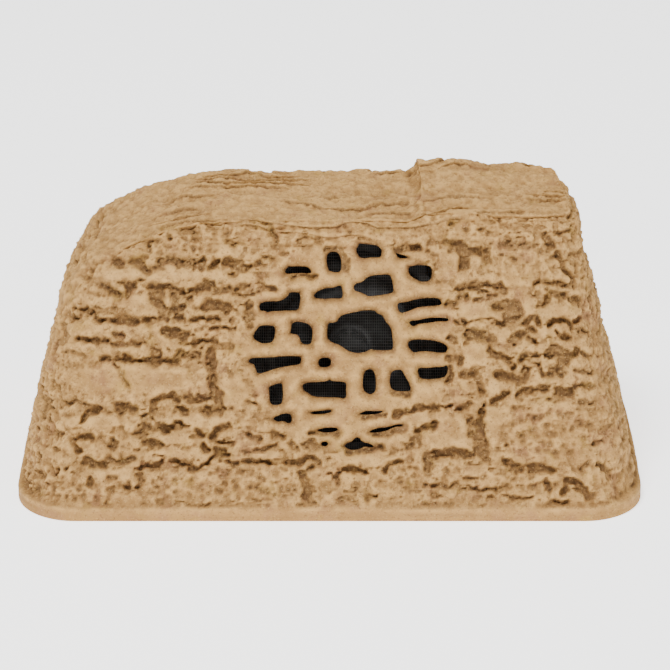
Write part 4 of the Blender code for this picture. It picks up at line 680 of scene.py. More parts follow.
def weathered(points, normals):
    """Relief of the whole rock, in millimetres out of its plain form, and how dark its paint is: brown
    wash, with painted shade along the ledges.
    """
    sideways = np.abs(normals[:, 1]) >= np.abs(normals[:, 0])
    along = np.where(sideways, points[:, 0], points[:, 1])
    rest = points - FACE_ORIGIN
    u, v = rest[:, 0], rest @ UP_FACE
    roof, front, level, upper, calm = zones(points, normals, u, v)

    # What the mould gave the front face, with its smooth stones and its patches of pits.
    facing = np.flatnonzero(front > 0)
    own_height, own_stain, smoothness = (np.zeros(len(points)) for _ in range(3))
    found = face_relief(points[facing], u[facing], v[facing])
    for field, values in zip((own_height, own_stain, smoothness), found):
        field[facing] = values * front[facing]
    honeycomb = np.zeros(len(points))
    for patch in PITTED:
        honeycomb = np.maximum(honeycomb, blob(u, v, *patch) * front)
    grille = front * (1 - ramp(np.hypot(u, v), GRILLE_RADIUS - 5, GRILLE_RADIUS + 4))

    # How strongly the broken beds and the pits show at each place.
    wild = (0.8 - 0.25 * front) * (1 - 0.85 * roof) * (1 - 0.7 * upper) * (1 - calm)
    wild = wild * (1 - 0.9 * smoothness) * (1 - 0.8 * grille) * (1 - 0.5 * honeycomb)
    holed = ramp(noise(points, (34, 34, 20), 45), 0.0, 0.35) * (1 - 0.7 * front)
    holed = np.maximum(holed, honeycomb)
    holed = holed * (1 - 0.9 * smoothness) * (1 - grille) * (1 - 0.9 * roof)
    broken = (1 - 0.75 * smoothness) * (1 - 0.75 * grille) * (1 - 0.6 * honeycomb)
    broken = broken * (1 - 0.8 * np.maximum(roof, upper)) * (1 - 0.7 * calm)
    specked = ramp(noise(points, (15, 15, 9), 66), -0.5, 0.2)
    specked = specked * (1 - 0.6 * smoothness) * (1 - 0.7 * grille) * (1 - 0.7 * roof)

    # Lumps, broken beds and pockets.
    bulge = (1 - front) * (1 - roof) * (3.0 * noise(points, (30, 30, 18), 33) - 1.6)
    height = 1.1 * rough(points, 16, 31) + bulge
    height = height * (1 - 0.45 * smoothness) * (1 - 0.4 * roof) + wild * beds(points, along)
    pocket_field = noise(points, (13, 13, 5), 41) + 0.6 * noise(points, (5, 5, 2.6), 42)
    pocket = ramp(pocket_field, 0.42, 0.6)
    height = height - 3.4 * pocket * wild
    stain_and_shade = (0.9 - 0.35 * front) * pocket * wild

    # Pits of three sizes.
    coarse = pits(points, 6.0, 51) * holed
    fine = pits(points, 3.0, 55) * np.maximum(holed, 0.25 * wild)
    speck = pits(points, 2.3, 65) * specked
    height = height - 2.3 * coarse**0.8 - 1.3 * fine - 0.8 * speck
    stain_and_shade = np.maximum(stain_and_shade, 0.7 * ramp(coarse, 0.25, 0.8) + 0.4 * ramp(fine, 0.3, 0.8))
    stain_and_shade = np.maximum(stain_and_shade, 0.5 * ramp(speck, 0.3, 0.8))

    # Flakes and chips, the face's own relief, and grain.
    flake_field = noise(points, (10, 10, 4.5), 57) + 0.5 * noise(points, (4, 4, 2.2), 58)
    flake = ramp(flake_field, -0.02, 0.1)
    chip = ramp(noise(points, 3.8, 59) + 0.5 * noise(points, 2.0, 60), 0.12, 0.34)
    height = height + broken * (0.9 * flake - 0.9 * chip) + own_height
    stain_and_shade = np.maximum(stain_and_shade, broken * (0.26 * chip + 0.12 * (1 - flake)))
    stain_and_shade = np.maximum(stain_and_shade, own_stain)
    grain = rough(points, 3.6, 35, 3)
    height = height + 0.7 * grain * (1 - 0.5 * smoothness) * (1 - 0.6 * grille)

    ledge_height, ledge_shade = top_ledges(points, np.maximum(roof, upper) * level)
    height = height + ledge_height
    # The ledges' painted shade joins the brown wash.
    stain_and_shade = np.maximum(stain_and_shade, ledge_shade)
    round_ribs(points, u, v, height, stain_and_shade, grille)

    # The plain band at the foot stands proud of the rock above it.
    foot = ramp(points[:, 2] + 1.2 * noise(points, 12, 71), SKIRT - 1.5, SKIRT + 3.5)
    height = (np.clip(height, DEEPEST, PROUDEST) - SUNK) * foot
    height = height + 0.18 * (1 - foot) * noise(points, (40, 40, 2.5), 73)
    height[points[:, 2] < 0.5] = 0
    streaks = 0.3 * ramp(noise(points, (70, 70, 2.2), 74), 0.05, 0.5)
    return height, stain_and_shade * foot + streaks * (1 - foot)


def smoothed(values, edges, rounds):
    """Each value evened out with its neighbours' along the mesh's edges."""
    count = len(values)
    shared = np.bincount(edges.ravel(), minlength=count)
    for _ in range(rounds):
        total = np.bincount(edges[:, 0], values[edges[:, 1]], count)
        total += np.bincount(edges[:, 1], values[edges[:, 0]], count)
        values = total / shared
    return values


def vectors(items, key, width=3):
    values = np.empty(len(items) * width)
    items.foreach_get(key, values)
    return values.reshape(-1, width)


def fine_rock():
    """The rock's outside with all its relief, and what its paint needs to know."""
    mesh = rock_form("rock_outside", 0, 0, (ACROSS, DEEP, ROWS), CAP_TURNS)
    points = vectors(mesh.vertices, "co") / MM
    normals = vectors(mesh.vertices, "normal")
    height, stain_and_shade = weathered(points, normals)
    edges = np.empty(len(mesh.edges) * 2, dtype=np.int32)
    mesh.edges.foreach_get("vertices", edges)
    edges = edges.reshape(-1, 2)
    near, wide = smoothed(height, edges, 4), smoothed(height, edges, 24)
    cavity = 0.5 * ramp(near - height, 0.05, 0.55) + 0.5 * ramp(wide - height, 0.2, 1.8)
    # Raised places get pale dry-brush; the term from the normal's height is painted light that makes
    # upward faces paler.
    crest_and_top_light = ramp(height - wide + 0.7 * np.clip(normals[:, 2], 0, 1) ** 3, -0.4, 1.1)
    normals[points[:, 2] < SKIRT, 2] = 0
    points = points + normals * height[:, None]
    mesh.vertices.foreach_set("co", (points * MM).ravel())
    mesh.update()
    # The first attribute holds the brown wash and darker hole rims, with painted shade along the
    # ledges; the second holds the dry-brushed crests, with painted light that makes upward faces paler.
    paint = {"stain_and_shade": np.clip(0.85 * stain_and_shade + 0.55 * cavity, 0, 1), "crest_and_top_light": crest_and_top_light}
    return mesh, points, paint


# ---------------------------------------------------------------- mesh helpers


def linked(name, mesh):
    made = bpy.data.objects.new(name, mesh)
    bpy.context.scene.collection.objects.link(made)
    return made


def faced_out(mesh):
    """Turns a closed mesh's faces outwards."""
    work = bmesh.new()
    work.from_mesh(mesh)
    bmesh.ops.recalc_face_normals(work, faces=work.faces)
    work.to_mesh(mesh)
    work.free()
    return mesh


def prism(name, outline, low, high, place=None):
    """An outline of (x, y) points extruded from one height to another."""
    count = len(outline)
    points = [(x, y, low) for x, y in outline] + [(x, y, high) for x, y in outline]
    faces = [tuple(range(count)), tuple(range(count, 2 * count))]
    for i in range(count):
        j = (i + 1) % count
        faces.append((i, j, count + j, count + i))
    mesh = faced_out(mesh_from(name, points, faces))
    if place:
        mesh.transform(place)
    return mesh


def tube_faces(start, stations, sides):
    """The faces of a closed tube whose points go round it, station by station, from start."""
    faces = []
    for i in range(stations - 1):
        for k in range(sides):
            a, b = start + sides * i + k, start + sides * i + (k + 1) % sides
            faces.append((a, b, b + sides, a + sides))
    last = start + sides * (stations - 1)
    faces.append(tuple(range(start, start + sides))[::-1])
    faces.append(tuple(range(last, last + sides)))
    return faces


def joined(name, meshes):
    work = bmesh.new()
    for mesh in meshes:
        work.from_mesh(mesh)
    made = bpy.data.meshes.new(name)
    work.to_mesh(made)
    work.free()
    return made


def circle(radius, count, x=0.0, y=0.0):
    angles = [math.tau * i / count for i in range(count)]
    return [(x + radius * math.cos(a), y + radius * math.sin(a)) for a in angles]


def softened(outline, rounds=2):
    """An outline with its corners cut again and again, which rounds them."""
    for _ in range(rounds):
        cut = []
        for (ax, ay), (bx, by) in zip(outline, outline[1:] + outline[:1]):
            cut.append((0.75 * ax + 0.25 * bx, 0.75 * ay + 0.25 * by))
            cut.append((0.25 * ax + 0.75 * bx, 0.25 * ay + 0.75 * by))
        outline = cut
    return outline


def carve(target, mesh, operation="DIFFERENCE", solver="MANIFOLD"):
    """Cuts a closed mesh from a piece, or joins it on, and keeps the result."""
    tool = linked("carving_tool", mesh)
    change = target.modifiers.new("carve", "BOOLEAN")
    change.operation = operation
    change.object = tool
    change.solver = solver
    graph = bpy.context.evaluated_depsgraph_get()
    result = bpy.data.meshes.new_from_object(target.evaluated_get(graph))
    target.modifiers.clear()
    target.data = result
    bpy.data.objects.remove(tool)


def gland_matrix(forward=0.0):
    """+Z out of the back wall, the origin on the gland's seat."""
    turn = Vector((0, 1, 0)).to_track_quat("Z", "Y").to_matrix().to_4x4()
    seat = Vector((GLAND_X, GLAND_FLOOR + forward, GLAND_Z)) * MM
    return Matrix.Translation(seat) @ turn


def bolt_places():
    """The driver's four screws, turned so that each misses the holes of the grille."""
    turns = [math.radians(52 + 90 * i) for i in range(4)]
    return [(BOLT_CIRCLE * math.cos(a), BOLT_CIRCLE * math.sin(a)) for a in turns]


def screw_places():
    """Where the base plate's screws go."""
    places = []
    for i in range(1, 7):
        low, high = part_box(f"base_screw_{i}")
        middle = (low + high) / (2 * MM)
        places.append((middle.x, middle.y))
    return places


# ---------------------------------------------------------------- the shell


def make_shell(finish):
    mesh, points, paint = fine_rock()
    shell = linked("rock_shell_weathered", mesh)
    carve(shell, rock_form("hollow", HOLLOW_INSET, LEDGE_HIGH, (40, 24, 12), 4))
    carve(shell, prism("mouth", plan_outline(LEDGE_INSET), -5, LEDGE_HIGH + 1))
    carve(shell, prism("rebate", plan_outline(REBATE_INSET), -5, LEDGE_LOW))
    pad_outline = [(u, min(v, PAD_TOP)) for u, v in circle(PAD_RADIUS, 96)]
    carve(shell, prism("pad", pad_outline, PAD_FACE, PAD_FRONT, FACE_MATRIX), "UNION")
    carve(shell, prism("seat", circle(SEAT_RADIUS, 48), 0, 9, gland_matrix(-6)), "UNION")
    holes = [
        prism(name, softened(outline), PAD_FACE - 5, 20, FACE_MATRIX)
        for name, outline in HOLES.items()
    ]
    carve(shell, joined("holes", holes))
    pilots = [
        prism("pilot", circle(BOLT_PILOT, 24, u, v), PAD_FACE - 3, PAD_FACE + 4, FACE_MATRIX)
        for u, v in bolt_places()
    ]
    pilots += [
        prism("pilot", circle(SCREW_PILOT, 24, x, y), LEDGE_LOW - 3, LEDGE_LOW + 5.2)
        for x, y in screw_places()
    ]
    carve(shell, joined("pilots", pilots))
    carve(shell, prism("pocket", circle(POCKET_RADIUS, 64), 0, 60, gland_matrix()))
    carve(shell, prism("bore", circle(BORE_RADIUS, 48), -20, 20, gland_matrix()))
    shell.data.shade_smooth()
    shell.data.set_sharp_from_angle(angle=math.radians(55))
    paint_shell(shell, points, paint)
    shell.data.materials.clear()
    shell.data.materials.append(finish)
    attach(shell, "enclosure")
    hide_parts("rock_shell")


def paint_shell(shell, points, paint):
    """Gives each corner of the finished shell the paint of the rock surface it lies on."""
    tree = KDTree(len(points))
    for i, point in enumerate(points):
        tree.insert(point, i)
    tree.balance()
    places = vectors(shell.data.vertices, "co") / MM
    found = [tree.find(place)[1:] for place in places]
    nearest = np.array([index for index, _ in found])
    outside = np.array([far < 1.2 for _, far in found])
    for name, values in paint.items():
        attribute = shell.data.attributes.new(name, "FLOAT", "POINT")
        attribute.data.foreach_set("value", np.where(outside, values[nearest], 0))


# ---------------------------------------------------------------- the woven screen


def make_screen(finish):
    """Insect cloth: wires that weave over and under each other, cut to the screen's outline."""
    warp_step, weft_step = 1.41, 1.81
    radius, sway = 0.15, 0.12
    points, faces = [], []

    def add_wire(line, sideways):
        """A four-sided wire through points that are one crossing apart."""
        start = len(points)
        for place in line:
            place = np.array(place)
            for across, out in ((1, 0), (0, 1), (-1, 0), (0, -1)):
                points.append(place + radius * (across * sideways + out * np.array([0, 0, 1])))
        faces.extend(tube_faces(start, len(line), 4))

    def lay(step, other_step, vertical):
        reach = int(SCREEN_RADIUS / step)
        for i in range(-reach, reach + 1):
            offset = i * step
            if not vertical and offset > SCREEN_TOP:
                continue
            half = math.sqrt(SCREEN_RADIUS**2 - offset**2)
            high = min(half, SCREEN_TOP) if vertical else half
            stations = np.arange(math.ceil(-half / other_step), int(high / other_step) + 1)
            line = []
            for j in stations:
                side = 1 if (i + j) % 2 else -1
                w = SCREEN_MID + sway * (side if vertical else -side)
                along = j * other_step
                spot = (offset, along) if vertical else (along, offset)
                if all(math.dist(spot, bolt) > 2.9 for bolt in bolt_places()):
                    line.append((*spot, w))
                elif len(line) > 1:
                    add_wire(line, sideways[vertical])
                    line = []
            if len(line) > 1:
                add_wire(line, sideways[vertical])

    sideways = {True: np.array([1.0, 0, 0]), False: np.array([0, 1.0, 0])}
    lay(warp_step, weft_step, True)
    lay(weft_step, warp_step, False)
    mesh = mesh_from("woven_screen", points, faces)
    mesh.transform(FACE_MATRIX)
    screen = linked("woven_screen", mesh)
    mesh.materials.append(finish)
    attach(screen, "enclosure")
    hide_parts("grille_screen")


# ---------------------------------------------------------------- pieces that flex


def turned(name, line, thick, segments=96):
    """A thin part spun from a line of (radius, w) points at an even thickness."""
    line = np.array(line, float)
    run = np.gradient(line, axis=0)
    normal = np.stack([-run[:, 1], run[:, 0]], axis=1)
    normal /= np.linalg.norm(normal, axis=1, keepdims=True)
    profile = np.concatenate([line + normal * thick / 2, (line - normal * thick / 2)[::-1]])
    count = len(profile)
    points, faces = [], []
    for s in range(segments):
        angle = math.tau * s / segments
        for r, w in profile:
            points.append((r * math.cos(angle), r * math.sin(angle), w))
        a, b = s * count, (s + 1) % segments * count
        for k in range(count):
            j = (k + 1) % count
            faces.append((a + k, b + k, b + j, a + j))
    mesh = faced_out(mesh_from(name, points, faces))
    mesh.transform(FACE_MATRIX)
    mesh.shade_smooth()
    return linked(name, mesh)


def flex(piece):
    """Bakes the piece's placement into its mesh and reads its points as places from the face's origin.
    """
    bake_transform(piece)
    local = vectors(piece.data.vertices, "co") / MM - FACE_ORIGIN


def make_surround(finish):
    """A half roll of rubber between the basket's landing and the cone's rim."""
    level, roll_centre, roll = -22.3, 50.5, 5.0
    angles = np.linspace(0, math.pi, 25)
    line = [(61.5, level), (60, level), (58.5, level), (56.6, level)]
    line += [(roll_centre + roll * math.cos(a), level + roll * math.sin(a)) for a in angles]
    line += [(44.6, level), (42.8, level)]
    piece = turned("rubber_surround", line, 0.7)
    piece.data.materials.append(finish)
    flex(piece)
    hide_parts("driver_surround")


def make_spider(finish):
    """The corrugated cloth disc that centres the coil."""
    level, inner, outer, waves = -45.45, 13.3, 41.6, 5.5
    line = []
    for r in np.linspace(inner, outer, 89):
        share = (r - inner) / (outer - inner)
        fade = ramp(share, 0, 0.08) * ramp(share, 1, 0.9)
        line.append((r, level + 0.75 * fade * math.sin(math.tau * waves * share)))
    piece = turned("cloth_spider", line, 0.42)
    piece.data.materials.append(finish)
    flex(piece)
    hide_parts("driver_spider")


def make_tweeter_surround(finish):
    """The dome's own narrow half roll."""
    low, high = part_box("tweeter_surround")
    middle = FACE_MATRIX.inverted() @ ((low + high) / 2) / MM
    level = middle.z - 0.25
    line = [(12.9, level), (12.5, level)]
    line += [
        (11.4 + 0.95 * math.cos(a), level + 0.75 * math.sin(a))
        for a in np.linspace(0, math.pi, 13)
    ]
    line += [(10.2, level)]
    piece = turned("silk_surround", line, 0.3, 64)
    piece.data.materials.append(finish)
    flex(piece)
    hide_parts("tweeter_surround")


def make_leads(finish):
    """Braided leads from the terminal tabs to the cone, each three strands twisted."""
    route = [(13.2, -50.5, -36.5), (12.6, -45, -39.5), (11.0, -36, -41.2), (9.5, -28, -40.5),
             (8.6, -22.5, -37.6)]
    turns, strands, lay, strand, sides = 9, 3, 0.3, 0.27, 6
    for node, side in (("tinsel_lead_pos", -1), ("tinsel_lead_neg", 1)):
        centre = spline_points([Vector((side * u, v, w)) for u, v, w in route], 90)
        points, faces = [], []
        for s in range(strands):
            start = len(points)
            for i, place in enumerate(centre):
                ahead = centre[min(i + 1, len(centre) - 1)] - centre[max(i - 1, 0)]
                across = ahead.cross(Vector((1, 0, 0))).normalized()
                level = ahead.cross(across).normalized()
                angle = math.tau * (turns * i / len(centre) + s / strands)
                middle = place + lay * (math.cos(angle) * across + math.sin(angle) * level)
                for k in range(sides):
                    turn = math.tau * k / sides
                    points.append(
                        middle + strand * (math.cos(turn) * across + math.sin(turn) * level)
                    )
            faces += tube_faces(start, len(centre), sides)
        mesh = mesh_from(node + "_braid", points, faces)
        mesh.transform(FACE_MATRIX)
        mesh.shade_smooth()
        mesh.materials.append(finish)
        piece = linked(node + "_braid", mesh)
        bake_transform(piece)
        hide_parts(node)


def spline_points(route, count):
    """Evenly spaced points on one smooth curve through the route's own points."""
    padded = [2 * route[0] - route[1], *route, 2 * route[-1] - route[-2]]
    dense = []
    for a, b, c, d in zip(padded, padded[1:], padded[2:], padded[3:]):
        for i in range(12):
            t = i / 12
            dense.append(
                0.5 * (2 * b + (c - a) * t + (2 * a - 5 * b + 4 * c - d) * t * t
                       + (3 * b - a - 3 * c + d) * t**3)
            )
    dense.append(route[-1])
    run = [0.0]
    for a, b in zip(dense, dense[1:]):
        run.append(run[-1] + (b - a).length)
    wanted = np.linspace(0, run[-1], count)
    axes = [np.interp(wanted, run, [p[k] for p in dense]) for k in range(3)]
    return [Vector(p) for p in zip(*(axis.tolist() for axis in axes))]


def make_wadding(finish):
    """A pad of fibre wadding: crowned, thin at its edges and lumpy, in the CAD pad's place."""
    across, deep, thick, edge = 130, 60, 16.0, 9.0
    grid_x, grid_y = np.meshgrid(
        np.linspace(-96, 104, across + 1), np.linspace(-44, 48, deep + 1), indexing="ij"
    )
    top = leaned(grid_x, grid_y, top_height(grid_x, grid_y) - 8.0).reshape(-1, 3)
    gap_x = np.minimum(grid_x + 96, 104 - grid_x)
    gap_y = np.minimum(grid_y + 44, 48 - grid_y)
    rim = np.clip(np.minimum(gap_x, gap_y) / edge, 0, 1).ravel()
    full = np.sqrt(1 - (1 - rim) ** 2)
    lumps = 1.3 * rough(top, 22, 81) + 0.7 * rough(top, 5, 85, 2)
    upper = top.copy()
    upper[:, 2] -= 2.2 + 2.5 * (1 - full) + 0.25 * np.abs(lumps)
    under = top.copy()
    under[:, 2] -= 2.2 + 2.5 + (thick - 5.5) * full * (1 + 0.06 * lumps) - 0.2
    points = np.concatenate([upper, under])
    count = len(top)
    index = np.arange(count).reshape(across + 1, deep + 1)
    quads = grid_quads(index)
    border = [*index[:, 0], *index[-1, 1:], *index[::-1, -1][1:], *index[0, ::-1][1:-1]]
    faces = quads.tolist() + (quads[:, ::-1] + count).tolist()
    for a, b in zip(border, border[1:] + border[:1]):
        faces.append((int(b), int(a), int(a) + count, int(b) + count))
    mesh = mesh_from("fibre_wadding", points, faces)
    mesh.shade_smooth()
    mesh.materials.append(finish)
    pad = linked("fibre_wadding", mesh)
    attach(pad, "enclosure")
    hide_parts("acoustic_wadding")


# ---------------------------------------------------------------- materials


def linear(red, green, blue):
    """A display colour, 0 to 255, as the linear colour that a shader takes."""
    shares = [value / 255 for value in (red, green, blue)]
    return tuple(s / 12.92 if s <= 0.04045 else ((s + 0.055) / 1.055) ** 2.4 for s in shares)


class Nodes:
    """Short names for building one material's nodes."""

    def __init__(self, name):
        self.material = bpy.data.materials.new(name)
        self.material.use_nodes = True
        self.tree = self.material.node_tree
        self.shader = self.tree.nodes["Principled BSDF"]
        self.place = self.tree.nodes.new("ShaderNodeTexCoord").outputs["Object"]

    def set(self, **values):
        for key, value in values.items():
            self.shader.inputs[key.replace("_", " ")].default_value = value

    def link(self, output, socket):
        self.tree.links.new(output, self.shader.inputs[socket])

    def feed(self, socket, value):
        """Fills a socket with a number, with a colour of three numbers, or from an output."""
        if isinstance(value, tuple):
            socket.default_value = (*value, 1)
        elif isinstance(value, (int, float)):
            socket.default_value = value
        else:
            self.tree.links.new(value, socket)

    def mapped(self, socket, value):
        """The object's own coordinates with a Scale or a Rotation."""
        mapping = self.tree.nodes.new("ShaderNodeMapping")
        mapping.inputs[socket].default_value = value
        self.tree.links.new(self.place, mapping.inputs["Vector"])
        return mapping.outputs["Vector"]

    def noise(self, size, detail=4.0, stretch=None):
        """Noise whose lumps are about this many millimetres across."""
        node = self.tree.nodes.new("ShaderNodeTexNoise")
        node.inputs["Scale"].default_value = 1 / (size * MM)
        node.inputs["Detail"].default_value = detail
        place = self.mapped("Scale", stretch) if stretch else self.place
        self.tree.links.new(place, node.inputs["Vector"])
        return node.outputs["Fac"]

    def waves(self, pitch, distortion, direction, place):
        """Soft stripes, about this many millimetres apart."""
        node = self.tree.nodes.new("ShaderNodeTexWave")
        node.bands_direction = direction
        node.inputs["Scale"].default_value = 1 / (pitch * MM) / math.tau * 2
        node.inputs["Distortion"].default_value = distortion
        self.tree.links.new(place, node.inputs["Vector"])
        return node.outputs["Fac"]

    def attribute(self, name):
        node = self.tree.nodes.new("ShaderNodeAttribute")
        node.attribute_name = name
        return node.outputs["Fac"]

    def ranged(self, value, low, high, start, end):
        """Carries low..high over to start..end, and holds it there."""
        node = self.tree.nodes.new("ShaderNodeMapRange")
        node.interpolation_type = "SMOOTHSTEP"
        self.tree.links.new(value, node.inputs["Value"])
        for socket, number in (
            ("From Min", low), ("From Max", high), ("To Min", start), ("To Max", end)
        ):
            node.inputs[socket].default_value = number
        return node.outputs["Result"]

    def math(self, operation, first, second):
        node = self.tree.nodes.new("ShaderNodeMath")
        node.operation = operation
        for socket, value in zip(node.inputs, (first, second)):
            self.feed(socket, value)
        return node.outputs["Value"]

    def mix(self, share, first, second, blend="MIX"):
        """Mixes two colours, each an output or three linear numbers."""
        node = self.tree.nodes.new("ShaderNodeMix")
        node.data_type = "RGBA"
        node.blend_type = blend
        for socket, value in zip(("Factor", 6, 7), (share, first, second)):
            self.feed(node.inputs[socket], value)
        return node.outputs[2]

    def bump(self, *layers):
        """Bumps on bumps: each layer is a height output and its depth in millimetres."""
        last = None
        for height, depth in layers:
            node = self.tree.nodes.new("ShaderNodeBump")
            node.inputs["Distance"].default_value = depth * MM
            self.tree.links.new(height, node.inputs["Height"])
            if last:
                self.tree.links.new(last, node.inputs["Normal"])
            last = node.outputs["Normal"]
        self.link(last, "Normal")


def sandstone():
    """Painted polyresin: tan, washed with brown that stayed in the hollows, with painted shade along
    the ledges and painted light on upward faces.
    """
    make = Nodes("weathered_sandstone")
    stain_and_shade, crest_and_top_light = make.attribute("stain_and_shade"), make.attribute("crest_and_top_light")
    broad = make.ranged(make.noise(38, 3), 0.35, 0.65, 0, 1)
    tan = make.mix(broad, linear(156, 116, 67), linear(172, 131, 76))
    blush = make.ranged(make.noise(17, 4), 0.53, 0.68, 0, 0.55)
    tan = make.mix(blush, tan, linear(156, 111, 78))
    straw = make.ranged(make.noise(13, 4, (1, 1.3, 0.9)), 0.56, 0.7, 0, 0.5)
    tan = make.mix(straw, tan, linear(172, 137, 66))
    # Pale dry-brush on the crests, and painted light that makes upward faces paler.
    drybrush_and_top_light = make.math("MULTIPLY", crest_and_top_light, make.ranged(make.noise(6, 4), 0.35, 0.6, 0.35, 0.95))
    tan = make.mix(drybrush_and_top_light, tan, linear(208, 164, 100))
    patchy = make.ranged(make.noise(3.2, 5), 0.3, 0.62, 0.45, 1)
    # The brown wash, with the ledges' painted shade in the same attribute.
    wash_and_shade = make.math("MULTIPLY", stain_and_shade, patchy)
    brown = make.mix(make.ranged(make.noise(9, 3), 0.4, 0.6, 0, 1),
                     linear(96, 69, 43), linear(118, 88, 55))
    colour = make.mix(make.math("MINIMUM", wash_and_shade, 0.92), tan, brown)
    freckles = make.ranged(make.noise(1.6, 2), 0.58, 0.7, 0, 0.5)
    colour = make.mix(freckles, colour, linear(116, 82, 50))
    dust = make.ranged(make.noise(1.2, 2), 0.56, 0.74, 0, 0.4)
    colour = make.mix(dust, colour, linear(214, 178, 118))
    make.link(colour, "Base Color")
    make.link(make.ranged(make.noise(8, 3), 0.3, 0.7, 0.72, 0.9), "Roughness")
    make.set(Specular_IOR_Level=0.15)
    make.bump((make.noise(1.9, 5), 0.8), (make.noise(0.8, 3), 0.35))
    return make.material


def surface(name, colour, other, roughness, size=6.0, depth=0.05, grain=0.4, metallic=0.0,
            coat=0.0, sheen=0.0, stretch=None):
    """A plain material with slow colour change, a little wear in its gloss and fine grain."""
    make = Nodes(name)
    share = make.ranged(make.noise(size, 4, stretch), 0.35, 0.65, 0, 1)
    make.link(make.mix(share, linear(*colour), linear(*other)), "Base Color")
    spread = 0.12
    make.link(
        make.ranged(make.noise(size * 0.6, 3), 0.3, 0.7, roughness - spread / 2, roughness + spread),
        "Roughness",
    )
    make.set(Metallic=metallic, Coat_Weight=coat, Sheen_Weight=sheen)
    make.bump((make.noise(grain, 3, stretch), depth))
    return make.material


def weave(name, colour, other, pitch, depth, roughness=0.85):
    """Cloth: two sets of waves that cross."""
    make = Nodes(name)
    heights = []
    for turn in (0.0, math.pi / 2):
        place = make.mapped("Rotation", (math.pi / 2 - FACE_TILT, turn, 0))
        heights.append(make.waves(pitch, 0.4, "X", place))
    threads = make.math("MULTIPLY", *heights)
    make.link(make.mix(threads, linear(*other), linear(*colour)), "Base Color")
    make.set(Roughness=roughness, Sheen_Weight=0.3)
    make.bump((threads, depth), (make.noise(0.5, 2), depth / 2))
    return make.material


def banded(name, colour, other, pitch, roughness, metallic=1.0):
    """Wound wire: turns side by side along the winding's own length."""
    make = Nodes(name)
    lines = make.waves(pitch, 0.6, "Z", make.place)
    make.link(make.mix(lines, linear(*other), linear(*colour)), "Base Color")
    make.set(Metallic=metallic, Roughness=roughness)
    make.bump((lines, 0.12))
    return make.material


def make_finishes():
    return {
        "sandstone": sandstone(),
        "black_abs": surface("moulded_abs", (13, 13, 14), (19, 19, 19), 0.55, 9, 0.08, 0.5),
        "black_mesh": surface("coated_wire", (58, 58, 56), (68, 68, 66), 0.5, 5, 0.02),
        "foam": surface("closed_cell_foam", (24, 24, 25), (36, 36, 36), 0.92, 1.4, 0.2, 0.7),
        "rubber": surface("butyl_rubber", (12, 12, 13), (17, 17, 18), 0.6, 7, 0.03, 0.5),
        "black_steel": surface(
            "powder_coated_steel", (14, 14, 15), (19, 19, 20), 0.45, 8, 0.05, 0.45, 0.3),
        "cone_plastic": surface(
            "polypropylene_cone", (11, 11, 12), (15, 15, 17), 0.38, 5, 0.05, 0.6, coat=0.2),
        "kapton": surface("polyimide_former", (168, 92, 24), (186, 110, 34), 0.32, 4, 0.02),
        "copper": banded("enamelled_copper", (201, 116, 62), (120, 60, 30), 0.5, 0.3),
        "braid": surface("tinned_braid", (196, 142, 98), (150, 96, 58), 0.4, 0.6, 0.05, 0.3, 0.9),
        "spider_cloth": weave("resin_dipped_cotton", (196, 164, 92), (150, 116, 56), 0.7, 0.1),
        "zinc": surface("zinc_plate", (176, 177, 176), (150, 153, 156), 0.36, 4, 0.02, 0.5, 1.0),
        "ferrite": surface("sintered_ferrite", (48, 48, 50), (62, 61, 62), 0.72, 2.5, 0.1, 0.5),
        "phenolic": surface(
            "phenolic_board", (128, 84, 44), (104, 66, 34), 0.6, 3, 0.05, 0.5,
            stretch=(0.3, 1, 3)),
        "silk": weave("coated_silk", (16, 16, 18), (10, 10, 11), 0.35, 0.04, 0.6),
        "circuit_board": surface(
            "solder_mask", (26, 92, 52), (34, 108, 62), 0.38, 11, 0.03, 0.9, coat=0.4),
        "film": surface("polyester_film", (214, 176, 62), (202, 160, 48), 0.3, 6, 0.02, coat=0.4),
        "sleeve": surface("pvc_sleeve", (28, 40, 78), (34, 48, 92), 0.35, 8, 0.03, coat=0.2),
        "cement": surface("ceramic_case", (214, 212, 202), (196, 193, 182), 0.85, 2, 0.15, 0.6),
        "green_plastic": surface("pa66_green", (34, 134, 82), (28, 120, 72), 0.45, 7, 0.04),
        "red_wire": surface("red_pvc", (168, 24, 22), (150, 18, 18), 0.42, 6, 0.02),
        "black_wire": surface("black_pvc", (26, 26, 27), (34, 34, 34), 0.42, 6, 0.02),
        "nylon": surface("glass_filled_nylon", (30, 30, 31), (40, 40, 41), 0.5, 4, 0.06, 0.4),
        "wadding": surface(
            "polyester_fibre", (222, 221, 212), (198, 197, 188), 0.95, 3, 0.6, 0.9, sheen=0.5),
    }


# The CAD nodes that keep their own mesh, by the start of their names, under their finish.
NODES_OF = {
    "black_abs": (
        "base_plate", "screen_ring", "tweeter_post", "tweeter_housing", "tweeter_faceplate",
        "inductor_bobbin",
    ),
    "foam": ("base_gasket", "driver_gasket"),
    "zinc": (
        "base_screw", "driver_screw", "magnet_top_plate", "magnet_yoke", "terminal_tab", "board_screw",
    ),
    "black_steel": ("driver_basket",),
    "cone_plastic": ("driver_cone",),
    "kapton": ("coil_former",),
    "copper": ("coil_winding", "inductor_winding", "tweeter_coil"),
    "ferrite": ("magnet_ring", "tweeter_magnet"),
    "silk": ("tweeter_dome",),
    "phenolic": ("terminal_strip",),
    "circuit_board": ("crossover_board",),
    "film": ("film_capacitor",),
    "sleeve": ("bipolar_capacitor",),
    "cement": ("cement_resistor",),
    "green_plastic": ("input_terminals",),
    "red_wire": ("woofer_wire_red", "tweeter_wire_red"),
    "black_wire": ("woofer_wire_black", "tweeter_wire_black"),
    "rubber": ("gland_washer", "gland_seal"),
    "nylon": ("gland_body", "gland_dome_nut", "gland_locknut"),
}


